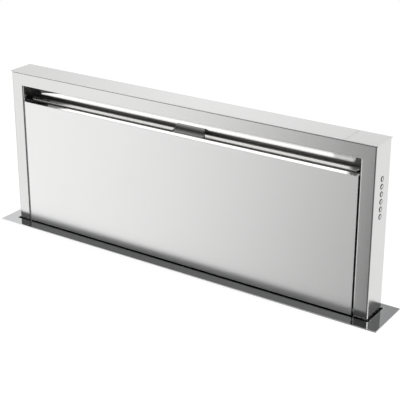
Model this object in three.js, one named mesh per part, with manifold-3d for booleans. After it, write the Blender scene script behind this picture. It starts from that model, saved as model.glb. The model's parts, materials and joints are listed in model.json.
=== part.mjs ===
// A retractable downdraft vent for a worktop, raised to its working height.
// A stainless tower with an intake slot, lamps, grease filters and an access panel stands in a polished
// deck plate. Below the worktop a galvanised housing holds the guides, the electric lift, the blower
// with its duct collar, and the electronics.
//
// Millimetres, +Z up, +X to the right seen from the front, front face towards -Y.
// The origin is the middle of the tower's footprint, in the plane of the worktop's upper face.

import * as THREE from 'three';
import { mergeVertices } from 'three/addons/utils/BufferGeometryUtils.js';
import Module from 'manifold-3d';

const wasm = await Module();
wasm.setup();

// Deck plate and its seal
const FLANGE_SIDE = 30; // plate beside the tower, at each end
const FLANGE_FRONT = 27; // plate in front of the tower
const FLANGE_BACK = 19; // plate behind the tower
const FLANGE_THICKNESS = 2;
const FLANGE_CORNER = 1.5;
const SEAL_THICKNESS = 1;
const SEAL_INSET = 3; // seal edge inside the plate edge
const TOWER_GAP = 4; // open gap between tower and plate
const COLLAR_DROP = 14; // lip turned down round the slot in the plate
const COLLAR_SHEET = 1.2;

// Tower
const TOWER_WIDTH = 820;
const TOWER_DEPTH = 56;
const RISE = 328; // top of the cap above the deck plate
const SKIRT_HEIGHT = 90; // tower that stays below the deck plate when raised
const TOWER_SHEET = 1.2;
const COLUMN_WIDTH = 29;
const COLUMN_RETURN = 38; // depth of the column's inner wall, front face included
const BAND_HEIGHT = 28; // cap top to slot
const SLOT_HEIGHT = 31; // slot to panel top
const WINDOW_SILL = 2; // window's lower edge below the deck plate
const CAP_THICKNESS = 1.5;
const CAP_OVERHANG = 2;
const CAP_SHADOW = 0.8; // dark line between cap and tower
const CAP_SEAM = 0.4;
const END_CAP_LENGTH = 62;
const TOP_PLATE_THICKNESS = 1.5;

// Access panel and its pins and catches
const PANEL_GAP = 2.5;
const PANEL_DEPTH = 12;
const LIP_BEND = 1.5; // outside bend of the folded top lip
const PANEL_SHEET = 1.2;
const PANEL_LIFT = 1; // panel's lower edge above the deck plate
const PIVOT_HEIGHT = 9; // pin axis above the deck plate
const PIVOT_INSET = 6; // pin axis behind the front face
const PIN_RADIUS = 2.5;
const PIN_CLEARANCE = 0.3; // in the panel, which turns on the pins
const PIN_HEAD_RADIUS = 4;
const PIN_HEAD_LENGTH = 1.5;
const PIN_REACH = 8; // pin inside the window
const CATCH_HEIGHT = 24;
const CATCH_DEPTH = 8;
const CATCH_DROP = 8; // catch below the panel's top edge

// Lamps in the slot
const LAMP_LEFT_INSET = 45; // left lamp's outer end to the column
const LAMP_RIGHT_INSET = 16; // right lamp's outer end to the column
const LAMP_JOINT = 33; // where the lamps meet, right of the tower's middle
const LAMP_DEPTH = 17;
const LAMP_LIP = 1; // lamp channel below the band
const LAMP_RISE = 12; // lamp channel above the band's edge
const LAMP_SHEET = 1.5;
const LENS_HANG = 12.5; // lens below the band
const LENS_NOTCH = 71; // length of the shallow notch under the lenses' meeting ends
const LENS_NOTCH_DEPTH = 7;
const LENS_TAPER = 3.2;
const LENS_ROOT = 7; // lens inside its channel

// Grease filters, their rail and the post between them, whose cover hides the lift behind the slot
const FILTER_THICKNESS = 9;
const FILTER_BORDER = 9;
const FILTER_RECESS = 2;
const FILTER_SIDE_INSET = 9; // filter end to the column
const FILTER_RISE = 5; // filter top above the panel's top edge
const POST_WIDTH = 66;
const POST_OFFSET = 20; // post's middle right of the tower's middle
const POST_SHEET = 1.2;
const RAIL_HEIGHT = 26; // filter rail above the deck plate
const RAIL_SHEET = 1.2;
const RAIL_LIP = 6;

// Round keys on the right side wall
const KEY_COUNT = 6;
const KEY_PITCH = 14;
const KEY_FIRST_DROP = 68; // first key below the top of the cap
const KEY_RADIUS = 4.9;
const KEY_PROUD = 0.8;
const KEY_TRAVEL = 1.5;
const KEY_CLEARANCE = 0.3;
const KEY_CHAMFER = 0.3;
const KEY_FLANGE = 0.9; // key's retaining flange beyond its cap
const KEY_FLANGE_LENGTH = 1.2;
const KEY_STEM_RADIUS = 2.5;
const KEY_STEM_LENGTH = 3.4;
const SWITCH_SIZE = 6;
const SWITCH_HEIGHT = 2.7;
const BOARD_THICKNESS = 1.6;
const BOARD_WIDTH = 34;
const BOARD_MARGIN = 12; // board beyond the first and last key
const STANDOFF_RADIUS = 2.5;
const STANDOFF_INSET = 4;
const BOARD_SINK = 0.5; // depth to which switches and standoffs enter the board

// Housing below the worktop
const HOUSING_DEPTH = 620;
const HOUSING_SIDE = 14; // tower to housing wall, at each end
const HOUSING_FACE = 8; // tower to housing wall, front and back
const HOUSING_SHEET = 1.2;
const LEG_HEIGHT = 40; // housing bottom above the cabinet floor
const LEG_PLATE_HEIGHT = 90; // leg plate up the housing wall
const LEG_WIDTH = 50;
const LEG_FOOT = 46;
const LEG_SHEET = 2.5;
const GUIDE_WIDTH = 16;
const GUIDE_THICKNESS = 7;
const GUIDE_TOP = 20; // guide rail's upper end below the worktop
const SHOE_LENGTH = 68;
const SHOE_WIDTH = 32;
const SHOE_STOP = 2; // raised shoe below the plate's collar
const SHOE_CLEARANCE = 0.4;
const LIMIT_SWITCH_SIZE = [9, 8, 24];
const LIMIT_SWITCH_GAP = 1; // switch behind the shoe's path

// Electric lift
const LIFT_Y = 10; // lift axis behind the tower's middle
const TUBE_RADIUS = 15;
const TUBE_BORE = 12.5;
const TUBE_TOP = 70; // tube mouth below the worktop
const BUSH_LENGTH = 25;
const BUSH_COLLAR = 3;
const ROD_RADIUS = 10;
const ROD_BORE = 7.4;
const ROD_OVERLAP = 70; // rod inside the tube when raised
const ROD_PIN_DROP = 28; // rod pin below the top of the cap
const ROD_CROWN = 70; // solid upper length of the rod
const TANG_THICKNESS = 10;
const TANG_LENGTH = 26;
const TANG_INSET = 2; // tang's narrow sides inside the rod's round
const TANG_ROOT = 3; // tang sunk in the rod
const ROD_PIN_RADIUS = 4;
const ROD_PIN_END = 2; // pin beyond each ear
const EAR_SHEET = 3;
const EAR_WIDTH = 22;
const EAR_GAP = 2; // ear's lower end above the rod's shoulder
const BRACKET_BASE = 33;
const SCREW_RADIUS = 6;
const SCREW_DROP = 2; // screw's end below the raised rod's end
const NUT_LENGTH = 30;
const GEARBOX_SIZE = [48, 38, 55];
const GEARBOX_BOTTOM = 50; // gearbox above the housing bottom
const SCREW_SOCKET = 16;
const LIFT_MOTOR_RADIUS = 18;
const LIFT_MOTOR_LENGTH = 110;
const LIFT_MOTOR_EDGE = 2;
const LIFT_MOTOR_NOSE = 4;
const FOOT_WIDTH = 84;
const FOOT_SHEET = 3;

// Blower
const BLOWER_X = -60;
const BLOWER_HEIGHT = 180; // blower axis above the housing's bottom
const INLET_RADIUS = 75;
const INLET_SHEET = 1.2;
const INLET_BELL = 16;
const INLET_EDGE = 8; // inlet plate beyond the scroll's lower end
const INLET_SHORT = 16; // inlet plate short of the scroll radius at the top
const VOLUTE_SHEET = 1.5;
const VOLUTE_NEAR = 100; // scroll radius at the tongue
const VOLUTE_OUTLET = 190; // blower axis to the outlet face
const TONGUE_ANGLE = THREE.MathUtils.degToRad(185);
const SCROLL_STEPS = 22;
const SHAFT_HOLE = 12;
const WHEEL_RADIUS = 90;
const WHEEL_SETBACK = 22; // wheel behind the inlet plate
const WHEEL_MARGIN = 36; // wheel's disc to the scroll's end
const WHEEL_RING = 14;
const WHEEL_SHEET = 2;
const BLADE_COUNT = 30;
const BLADE_CHORD = 14;
const BLADE_SHEET = 1.4;
const BLADE_INSET = 1;
const BLADE_ANGLE = THREE.MathUtils.degToRad(35);
const HUB_RADIUS = 16;
const HUB_LENGTH = 26;
const SHAFT_RADIUS = 4.8;
const BLOWER_MOTOR_RADIUS = 48;
const BLOWER_MOTOR_LENGTH = 52;
const MOTOR_CHAMFER = 8;
const SHAFT_DEPTH = 40; // shaft inside the motor
const MOTOR_BORE_CLEARANCE = 0.7;
const DUCT_RADIUS = 75;
const DUCT_SIDE = 3; // scroll's depth beyond the collar, at each side
const DUCT_MARGIN = 1; // outlet's height beyond the collar, above and below
const DUCT_SHEET = 1.2;
const DUCT_LENGTH = 90;
const DAMPER_CLEARANCE = 1.8;
const DAMPER_SHEET = 1.5;
const DAMPER_OFFSET = 4; // spindle above the flap's middle, so that the flap hangs shut
const SPINDLE_RADIUS = 3;
const SPINDLE_END = 1; // spindle beyond the collar
const SPINDLE_CLEARANCE = 0.3;

// Electronics box
const BOX_END_GAP = 54; // box end to the housing's end wall
const BOX_WIDTH = 180;
const BOX_TOP_GAP = 180; // worktop to the box's top
const BOX_HEIGHT = 120;
const BOX_DEPTH = 48;
const BOX_WALL = 2;
const LID_THICKNESS = 3;
const GLAND_INSET = 36; // gland to the box's right end
const GLAND_RADIUS = 9;
const GLAND_NUT = 8;
const GLAND_DOME = 12;
const GLAND_BORE = 4;
const GLAND_LIP = 2;
const GLAND_STEP = 1;

// Curve steps round each half of the blower's inlet
const ROUND = 32;

// The scroll takes its depth and its outlet's height from the duct, and the wheel its width from the scroll
const VOLUTE_DEPTH = 2 * (DUCT_RADIUS + DUCT_SIDE);
const OUTLET_TOP = VOLUTE_NEAR * Math.sin(TONGUE_ANGLE);
const VOLUTE_FAR = 2 * (DUCT_RADIUS + DUCT_MARGIN) - OUTLET_TOP; // scroll radius where the outlet leaves
const BLOWER_Z = BLOWER_HEIGHT - HOUSING_DEPTH;
const WHEEL_WIDTH = VOLUTE_DEPTH - WHEEL_SETBACK - WHEEL_MARGIN;

// Clearance between pieces that are fastened to each other
const FIT = 0.2;

// How far a cutting shape runs past the face it cuts
const OVERCUT = 5;

// Planes and half sizes that several pieces share
const FLANGE_TOP = SEAL_THICKNESS + FLANGE_THICKNESS;
const TOWER_X = TOWER_WIDTH / 2;
const TOWER_Y = TOWER_DEPTH / 2;
const WINDOW_X = TOWER_X - COLUMN_WIDTH;
const FRONT_INNER = -TOWER_Y + TOWER_SHEET;
const WALL_INNER = TOWER_X - TOWER_SHEET - FIT;
const FRAME_TOP = RISE - CAP_THICKNESS - CAP_SHADOW;
const BAND_EDGE = RISE - BAND_HEIGHT;
const PANEL_TOP = BAND_EDGE - SLOT_HEIGHT;
const PANEL_BACK = -TOWER_Y + PANEL_DEPTH;
const TOP_PLATE_TOP = RISE - CAP_THICKNESS - FIT;
const TOP_PLATE_UNDER = TOP_PLATE_TOP - TOP_PLATE_THICKNESS;
const HOUSING_X = TOWER_X + HOUSING_SIDE; // inner face
const HOUSING_Y = TOWER_Y + HOUSING_FACE; // inner face
const HOUSING_OUTER_X = HOUSING_X + HOUSING_SHEET;
const HOUSING_OUTER_Y = HOUSING_Y + HOUSING_SHEET;
const HOUSING_TOP = SEAL_THICKNESS - FIT;
const LAMP_FRONT = FRONT_INNER + FIT;
const LAMP_BACK = LAMP_FRONT + LAMP_DEPTH;
const FILTER_FRONT = PANEL_BACK + FIT + RAIL_SHEET + FIT;
const FILTER_BACK = FILTER_FRONT + FILTER_THICKNESS;
const FILTER_TOP = PANEL_TOP + FILTER_RISE;
const RAIL_TOP = RAIL_HEIGHT + RAIL_SHEET;
const PIN_Y = -TOWER_Y + PIVOT_INSET;
const SHOE_TOP = -COLLAR_DROP - SHOE_STOP;

const FINISHES = {
  satin: { color: 0xd4d4d2, roughness: 0.38, metalness: 1 },
  polished: { color: 0xc4c5c6, roughness: 0.12, metalness: 1 },
  galvanised: { color: 0xb4b9bc, roughness: 0.5, metalness: 0.9 },
  steel: { color: 0xa2a6a9, roughness: 0.35, metalness: 1 },
  aluminium: { color: 0xd8dadb, roughness: 0.4, metalness: 1 },
  brass: { color: 0xb89a4c, roughness: 0.35, metalness: 1 },
  lens: { color: 0xf7f7f2, roughness: 0.3, metalness: 0 },
  black: { color: 0x1d1e20, roughness: 0.55, metalness: 0 },
  grey: { color: 0x8a8d90, roughness: 0.5, metalness: 0 },
  white: { color: 0xe9e9e6, roughness: 0.45, metalness: 0 },
  board: { color: 0x2f5b3a, roughness: 0.6, metalness: 0 },
  foam: { color: 0x34363a, roughness: 0.95, metalness: 0 },
};

// ---------------------------------------------------------------- solids

const X_AXIS = new THREE.Vector3(1, 0, 0);
const Y_AXIS = new THREE.Vector3(0, 1, 0);
const Z_AXIS = new THREE.Vector3(0, 0, 1);
const ALONG_X = new THREE.Matrix4().makeBasis(Y_AXIS, Z_AXIS, X_AXIS);
const ALONG_Y = new THREE.Matrix4().makeBasis(X_AXIS, Z_AXIS, Y_AXIS.clone().negate());

function block(x0, x1, y0, y1, z0, z1) {
  const geometry = new THREE.BoxGeometry(x1 - x0, y1 - y0, z1 - z0);
  return geometry.translate((x0 + x1) / 2, (y0 + y1) / 2, (z0 + z1) / 2);
}

function rectangle(Kind, x0, x1, y0, y1, corner = 0) {
  const outline = new Kind();
  outline.moveTo(x0 + corner, y0);
  outline.lineTo(x1 - corner, y0);
  if (corner) outline.absarc(x1 - corner, y0 + corner, corner, -Math.PI / 2, 0);
  outline.lineTo(x1, y1 - corner);
  if (corner) outline.absarc(x1 - corner, y1 - corner, corner, 0, Math.PI / 2);
  outline.lineTo(x0 + corner, y1);
  if (corner) outline.absarc(x0 + corner, y1 - corner, corner, Math.PI / 2, Math.PI);
  outline.lineTo(x0, y0 + corner);
  if (corner) outline.absarc(x0 + corner, y0 + corner, corner, Math.PI, 1.5 * Math.PI);
  return outline;
}

function polygon(points) {
  return new THREE.Shape(points.map(([x, y]) => new THREE.Vector2(x, y)));
}

function frameShape(outer, inner) {
  outer.holes.push(inner);
  return outer;
}

function roundHole(shape, x, y, radius) {
  const hole = new THREE.Path();
  hole.absarc(x, y, radius, 0, 2 * Math.PI);
  shape.holes.push(hole);
  return shape;
}

// Extrusions along one axis. The shape's own two axes are Y and Z for X, X and Z for Y, X and Y for Z.
function extrude(shape, depth, curveSegments) {
  return new THREE.ExtrudeGeometry(shape, { depth, bevelEnabled: false, curveSegments });
}

function extrudeX(shape, x0, x1, curveSegments = 6) {
  return extrude(shape, x1 - x0, curveSegments).applyMatrix4(ALONG_X).translate(x0, 0, 0);
}

function extrudeY(shape, y0, y1, curveSegments = 6) {
  return extrude(shape, y1 - y0, curveSegments).applyMatrix4(ALONG_Y).translate(0, y1, 0);
}

function extrudeZ(shape, z0, z1, curveSegments = 6) {
  return extrude(shape, z1 - z0, curveSegments).translate(0, 0, z0);
}

// A turned solid about its own Y axis: the profile runs up its outer side, from the axis to the axis.
function turned(profile, segments = 32) {
  return new THREE.LatheGeometry(profile.map(([r, y]) => new THREE.Vector2(r, y)), segments);
}

function turnedX(profile, segments) {
  return turned(profile, segments).rotateZ(-Math.PI / 2);
}

function turnedZ(profile, segments) {
  return turned(profile, segments).rotateX(Math.PI / 2);
}

function rod(radius, y0, y1) {
  return [[0, y0], [radius, y0], [radius, y1], [0, y1]];
}

function ring(inner, outer, y0, y1) {
  return [[inner, y0], [outer, y0], [outer, y1], [inner, y1], [inner, y0]];
}

function toSolid(geometry) {
  const bare = geometry.clone();
  bare.deleteAttribute('normal');
  bare.deleteAttribute('uv');
  const merged = mergeVertices(bare);
  return new wasm.Manifold(new wasm.Mesh({
    numProp: 3,
    vertProperties: Float32Array.from(merged.attributes.position.array),
    triVerts: Uint32Array.from(merged.index.array),
  }));
}

function toGeometry(solid) {
  const { vertProperties, triVerts } = solid.getMesh();
  const geometry = new THREE.BufferGeometry();
  geometry.setAttribute('position', new THREE.BufferAttribute(vertProperties, 3));
  geometry.setIndex(new THREE.BufferAttribute(triVerts, 1));
  geometry.computeVertexNormals();
  return geometry;
}

function join(...geometries) {
  return toGeometry(geometries.map(toSolid).reduce((sum, next) => sum.add(next)));
}

function cut(geometry, ...tools) {
  return toGeometry(tools.map(toSolid).reduce((rest, tool) => rest.subtract(tool), toSolid(geometry)));
}

function piece(name, finish, geometry) {
  const mesh = new THREE.Mesh(geometry, new THREE.MeshStandardMaterial(FINISHES[finish]));
  mesh.name = name;
  return mesh;
}

function assembly(...members) {
  const group = new THREE.Group();
  members.forEach((member) => group.add(member));
  return group;
}

const SIDES = [['left', -1], ['right', 1]];

// Bounds of a stretch of X on the left or the right side, in rising order.
function span(sign, near, far) {
  return sign > 0 ? [near, far] : [-far, -near];
}

// ---------------------------------------------------------------- deck plate

function deckPlate() {
  const flangeX = TOWER_X + FLANGE_SIDE;
  const front = -TOWER_Y - FLANGE_FRONT;
  const back = TOWER_Y + FLANGE_BACK;
  const slotX = TOWER_X + TOWER_GAP;
  const slotY = TOWER_Y + TOWER_GAP;
  const slot = () => rectangle(THREE.Path, -slotX, slotX, -slotY, slotY);
  const plate = frameShape(rectangle(THREE.Shape, -flangeX, flangeX, front, back, FLANGE_CORNER), slot());
  const collarX = slotX + COLLAR_SHEET;
  const collarY = slotY + COLLAR_SHEET;
  const collar = frameShape(rectangle(THREE.Shape, -collarX, collarX, -collarY, collarY), slot());
  const sealX = flangeX - SEAL_INSET;
  const mouthX = HOUSING_OUTER_X + FIT;
  const mouthY = HOUSING_OUTER_Y + FIT;
  const seal = frameShape(
    rectangle(THREE.Shape, -sealX, sealX, front + SEAL_INSET, back - SEAL_INSET),
    rectangle(THREE.Path, -mouthX, mouthX, -mouthY, mouthY),
  );
  return assembly(
    piece('deck_flange', 'polished', join(
      extrudeZ(plate, SEAL_THICKNESS, FLANGE_TOP, 3),
      extrudeZ(collar, -COLLAR_DROP, FLANGE_TOP),
    )),
    piece('deck_seal', 'foam', extrudeZ(seal, 0, SEAL_THICKNESS)),
  );
}

// ---------------------------------------------------------------- housing

function housing() {
  const bottom = -HOUSING_DEPTH;
  const group = assembly();

  const front = roundHole(
    rectangle(THREE.Shape, -HOUSING_OUTER_X, HOUSING_OUTER_X, bottom, HOUSING_TOP),
    BLOWER_X, BLOWER_Z, INLET_RADIUS,
  );
  group.add(piece('housing_front', 'galvanised', extrudeY(front, -HOUSING_OUTER_Y, -HOUSING_Y, ROUND)));
  group.add(piece('housing_back', 'galvanised', block(-HOUSING_OUTER_X, HOUSING_OUTER_X, HOUSING_Y,
    HOUSING_OUTER_Y, bottom, HOUSING_TOP)));
  group.add(piece('housing_bottom', 'galvanised', block(-HOUSING_X + FIT, HOUSING_X - FIT,
    -HOUSING_Y + FIT, HOUSING_Y - FIT, bottom, bottom + HOUSING_SHEET)));

  const guideBottom = bottom + HOUSING_SHEET + FIT;
  for (const [side, sign] of SIDES) {
    const [wall0, wall1] = span(sign, HOUSING_X, HOUSING_OUTER_X);
    group.add(piece(`housing_${side}`, 'galvanised', block(wall0, wall1, -HOUSING_Y + FIT, HOUSING_Y - FIT,
      bottom, HOUSING_TOP)));

    const [guide0, guide1] = span(sign, HOUSING_X - FIT - GUIDE_THICKNESS, HOUSING_X - FIT);
    group.add(piece(`guide_rail_${side}`, 'steel', block(guide0, guide1, -GUIDE_WIDTH / 2, GUIDE_WIDTH / 2,
      guideBottom, -GUIDE_TOP)));

    const legOuter = HOUSING_OUTER_X + FIT + LEG_SHEET;
    const legInner = HOUSING_OUTER_X + FIT;
    const legBottom = bottom - LEG_HEIGHT;
    const leg = polygon([
      [sign * legOuter, bottom + LEG_PLATE_HEIGHT], [sign * legInner, bottom + LEG_PLATE_HEIGHT],
      [sign * legInner, legBottom + LEG_SHEET], [sign * (legInner - LEG_FOOT), legBottom + LEG_SHEET],
      [sign * (legInner - LEG_FOOT), legBottom], [sign * legOuter, legBottom],
    ]);
    group.add(piece(`support_leg_${side}`, 'steel', extrudeY(leg, -LEG_WIDTH / 2, LEG_WIDTH / 2)));
  }

  const [switchX, switchY, switchZ] = LIMIT_SWITCH_SIZE;
  const shoeMiddle = SHOE_TOP - SHOE_LENGTH / 2;
  const switchFront = SHOE_WIDTH / 2 + LIMIT_SWITCH_GAP;
  for (const [name, middle] of [['upper', shoeMiddle], ['lower', shoeMiddle - RISE]]) {
    group.add(piece(`limit_switch_${name}`, 'black', block(HOUSING_X - FIT - switchX, HOUSING_X - FIT,
      switchFront, switchFront + switchY, middle - switchZ / 2, middle + switchZ / 2)));
  }
  return group;
}

// ---------------------------------------------------------------- lift

const GEARBOX_UNDER = -HOUSING_DEPTH + HOUSING_SHEET + GEARBOX_BOTTOM;
const GEARBOX_TOP = GEARBOX_UNDER + GEARBOX_SIZE[2];
const ROD_END = -TUBE_TOP - ROD_OVERLAP; // rod's lower end when raised

function lift() {
  const [sizeX, sizeY] = GEARBOX_SIZE;
  const gearbox = cut(
    block(-sizeX / 2, sizeX / 2, -sizeY / 2, sizeY / 2, GEARBOX_UNDER, GEARBOX_TOP),
    turnedZ(rod(SCREW_RADIUS + FIT, GEARBOX_TOP - SCREW_SOCKET, GEARBOX_TOP + OVERCUT)),
  );
  const motorZ = GEARBOX_UNDER + GEARBOX_SIZE[2] / 2;
  const motorStart = sizeX / 2 + FIT;
  const motorEnd = motorStart + LIFT_MOTOR_LENGTH;
  const motor = turnedX([
    [0, motorStart], [LIFT_MOTOR_RADIUS - LIFT_MOTOR_EDGE, motorStart],
    [LIFT_MOTOR_RADIUS, motorStart + LIFT_MOTOR_EDGE], [LIFT_MOTOR_RADIUS, motorEnd - LIFT_MOTOR_NOSE],
    [LIFT_MOTOR_RADIUS - LIFT_MOTOR_NOSE, motorEnd], [0, motorEnd],
  ]).translate(0, 0, motorZ);

  const footTop = GEARBOX_UNDER - FIT;
  const footUnder = -HOUSING_DEPTH + HOUSING_SHEET + FIT;
  const tab = FOOT_WIDTH / 2;
  const outer = sizeX / 2;
  const inner = outer - FOOT_SHEET;
  const tabTop = footUnder + FOOT_SHEET;
  const bridge = footTop - FOOT_SHEET;
  const foot = polygon([
    [-tab, footUnder], [-inner, footUnder], [-inner, bridge], [inner, bridge], [inner, footUnder],
    [tab, footUnder], [tab, tabTop], [outer, tabTop], [outer, footTop], [-outer, footTop],
    [-outer, tabTop], [-tab, tabTop],
  ]);

  const screwTop = ROD_END - SCREW_DROP;
  const bushEnd = -TUBE_TOP - BUSH_LENGTH;
  const bushCollar = -TUBE_TOP + FIT;
  const bushTop = bushCollar + BUSH_COLLAR;
  const group = assembly(
    piece('actuator_foot', 'steel', extrudeY(foot, -sizeY / 2, sizeY / 2)),
    piece('actuator_gearbox', 'grey', gearbox),
    piece('lift_motor', 'black', motor),
    piece('actuator_tube', 'aluminium', turnedZ(ring(TUBE_BORE, TUBE_RADIUS, GEARBOX_TOP + FIT, -TUBE_TOP))),
    piece('rod_bush', 'white', turnedZ([
      [ROD_RADIUS + FIT, bushEnd], [TUBE_BORE - FIT, bushEnd], [TUBE_BORE - FIT, bushCollar],
      [TUBE_RADIUS, bushCollar], [TUBE_RADIUS, bushTop], [ROD_RADIUS + FIT, bushTop],
      [ROD_RADIUS + FIT, bushEnd],
    ])),
    piece('lift_screw', 'steel', turnedZ(rod(SCREW_RADIUS, GEARBOX_TOP - SCREW_SOCKET + FIT, screwTop))),
  );
  group.position.y = LIFT_Y;
  return group;
}

// ---------------------------------------------------------------- blower

// Outline of the scroll, seen from the front, a wall thickness outside the air space: along the outlet's
// lower wall, round from below with a radius that falls evenly to the tongue, and back along the outlet.
function scrollShape(wall, outletEnd) {
  const shape = new THREE.Shape();
  shape.moveTo(-outletEnd, -VOLUTE_FAR - wall);
  shape.lineTo(0, -VOLUTE_FAR - wall);
  for (let step = 1; step <= SCROLL_STEPS; step += 1) {
    const share = step / SCROLL_STEPS;
    const angle = THREE.MathUtils.lerp(-Math.PI / 2, TONGUE_ANGLE, share);
    const radius = THREE.MathUtils.lerp(VOLUTE_FAR, VOLUTE_NEAR, share) + wall;
    shape.lineTo(radius * Math.cos(angle), radius * Math.sin(angle));
  }
  shape.lineTo(-outletEnd, OUTLET_TOP + wall);
  return shape;
}

function wheel() {
  const back = -WHEEL_SETBACK;
  const front = back - WHEEL_WIDTH;
  const bladeRadius = WHEEL_RADIUS - BLADE_CHORD / 2 - BLADE_INSET;
  const parts = [
    turned(ring(SHAFT_RADIUS + FIT, WHEEL_RADIUS, front, front + WHEEL_SHEET), 48),
    turned(ring(SHAFT_RADIUS + FIT, HUB_RADIUS, front - HUB_LENGTH / 2, front + HUB_LENGTH / 2)),
    turned(ring(WHEEL_RADIUS - WHEEL_RING, WHEEL_RADIUS, back - WHEEL_SHEET, back), 48),
  ];
  for (let blade = 0; blade < BLADE_COUNT; blade += 1) {
    const angle = (2 * Math.PI * blade) / BLADE_COUNT;
    parts.push(block(-BLADE_CHORD / 2, BLADE_CHORD / 2, front + WHEEL_SHEET / 2, back - WHEEL_SHEET / 2,
      -BLADE_SHEET / 2, BLADE_SHEET / 2).rotateY(BLADE_ANGLE).translate(bladeRadius, 0, 0).rotateY(angle));
  }
  return join(...parts);
}

function blower() {
  const plateFront = -FIT - INLET_SHEET;
  const outletZ = (OUTLET_TOP - VOLUTE_FAR) / 2;
  const middleY = -VOLUTE_DEPTH / 2;
  const plateTop = VOLUTE_FAR - INLET_SHORT;
  const plate = roundHole(
    rectangle(THREE.Shape, -VOLUTE_OUTLET, VOLUTE_FAR, -VOLUTE_FAR - INLET_EDGE, plateTop),
    0, 0, INLET_RADIUS,
  );
  const inlet = join(
    extrudeY(plate, plateFront, -FIT, ROUND),
    turned(ring(INLET_RADIUS, INLET_RADIUS + INLET_SHEET, -FIT - INLET_BELL, -FIT), 2 * ROUND),
  );
  const casing = cut(
    extrudeY(scrollShape(VOLUTE_SHEET, VOLUTE_OUTLET), -VOLUTE_DEPTH, plateFront - FIT),
    extrudeY(scrollShape(0, VOLUTE_OUTLET + OVERCUT), -VOLUTE_DEPTH + VOLUTE_SHEET, OVERCUT),
    turned(rod(SHAFT_HOLE, -VOLUTE_DEPTH - OVERCUT, -VOLUTE_DEPTH + OVERCUT)),
  );

  const motorBack = -VOLUTE_DEPTH - FIT;
  const motorFront = motorBack - BLOWER_MOTOR_LENGTH;
  const bore = SHAFT_RADIUS + MOTOR_BORE_CLEARANCE;
  const shaftEnd = motorBack - SHAFT_DEPTH;
  const boreEnd = shaftEnd - MOTOR_BORE_CLEARANCE;
  const motor = turned([
    [0, motorFront], [BLOWER_MOTOR_RADIUS - MOTOR_CHAMFER, motorFront],
    [BLOWER_MOTOR_RADIUS, motorFront + MOTOR_CHAMFER], [BLOWER_MOTOR_RADIUS, motorBack],
    [bore, motorBack], [bore, boreEnd], [0, boreEnd],
  ], 40);
  const hubEnd = -WHEEL_SETBACK - WHEEL_WIDTH + HUB_LENGTH / 2;

  const outletX = -VOLUTE_OUTLET - FIT;
  const outletHalf = VOLUTE_FAR + VOLUTE_SHEET + outletZ;
  const collarPlate = roundHole(
    rectangle(THREE.Shape, -VOLUTE_DEPTH, -FIT, outletZ - outletHalf, outletZ + outletHalf),
    middleY, outletZ, DUCT_RADIUS - DUCT_SHEET,
  );
  const spindleX = outletX - DUCT_LENGTH / 2;
  const spindleZ = outletZ + DAMPER_OFFSET;
  const holeHalf = DUCT_RADIUS + OVERCUT;
  const spindleHole = turned(rod(SPINDLE_RADIUS + SPINDLE_CLEARANCE, -holeHalf, holeHalf), 20)
    .translate(spindleX, middleY, spindleZ);
  const collar = ring(DUCT_RADIUS - DUCT_SHEET, DUCT_RADIUS, outletX - DUCT_LENGTH, outletX - DUCT_SHEET / 2);
  const duct = cut(
    join(
      extrudeX(collarPlate, outletX - DUCT_SHEET, outletX, 24),
      turnedX(collar, 48).translate(0, middleY, outletZ),
    ),
    spindleHole,
  );
  const flapRadius = DUCT_RADIUS - DUCT_SHEET - DAMPER_CLEARANCE;
  const spindleHalf = DUCT_RADIUS + SPINDLE_END;
  const flap = join(
    turnedX(rod(flapRadius, -DAMPER_SHEET / 2, DAMPER_SHEET / 2), 40).translate(0, 0, -DAMPER_OFFSET),
    turned(rod(SPINDLE_RADIUS, -spindleHalf, spindleHalf), 20),
  ).translate(spindleX, middleY, spindleZ);

  const group = assembly(
    piece('inlet_plate', 'galvanised', inlet),
    piece('volute_casing', 'galvanised', casing),
    piece('blower_wheel', 'black', wheel()),
    piece('blower_shaft', 'steel', turned(rod(SHAFT_RADIUS, shaftEnd, hubEnd), 24)),
    piece('blower_motor', 'grey', motor),
    piece('duct_collar', 'galvanised', duct),
    piece('damper_flap', 'aluminium', flap),
  );
  group.position.set(BLOWER_X, -HOUSING_OUTER_Y, BLOWER_Z);
  return group;
}

// ---------------------------------------------------------------- electronics

function electronics() {
  const right = HOUSING_X - BOX_END_GAP;
  const left = right - BOX_WIDTH;
  const back = -HOUSING_OUTER_Y - FIT;
  const front = back - BOX_DEPTH;
  const top = -BOX_TOP_GAP;
  const bottom = top - BOX_HEIGHT;
  const middle = (front + back) / 2;
  const glandX = right - GLAND_INSET;
  const tray = cut(
    block(left, right, front, back, bottom, top),
    block(left + BOX_WALL, right - BOX_WALL, front - OVERCUT, back - BOX_WALL,
      bottom + BOX_WALL, top - BOX_WALL),
    turnedZ(rod(GLAND_BORE, -OVERCUT, OVERCUT), 24).translate(glandX, middle, bottom),
  );
  const nutEnd = -FIT - GLAND_NUT;
  const domeEnd = nutEnd - GLAND_DOME;
  const domeRadius = GLAND_RADIUS - GLAND_STEP;
  const gland = turnedZ([
    [GLAND_BORE, domeEnd], [GLAND_BORE + GLAND_LIP, domeEnd], [domeRadius, nutEnd - GLAND_DOME / 2],
    [domeRadius, nutEnd], [GLAND_RADIUS, nutEnd], [GLAND_RADIUS, -FIT], [GLAND_BORE, -FIT],
    [GLAND_BORE, domeEnd],
  ], 24).translate(glandX, middle, bottom);
  const lidBack = front - FIT;
  return assembly(
    piece('control_box', 'grey', tray),
    piece('control_box_lid', 'grey', block(left, right, lidBack - LID_THICKNESS, lidBack, bottom, top)),
    piece('cable_gland', 'black', gland),
  );
}

// ---------------------------------------------------------------- tower

const KEY_HEIGHTS = Array.from({ length: KEY_COUNT }, (_, key) => RISE - KEY_FIRST_DROP - key * KEY_PITCH);

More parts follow.
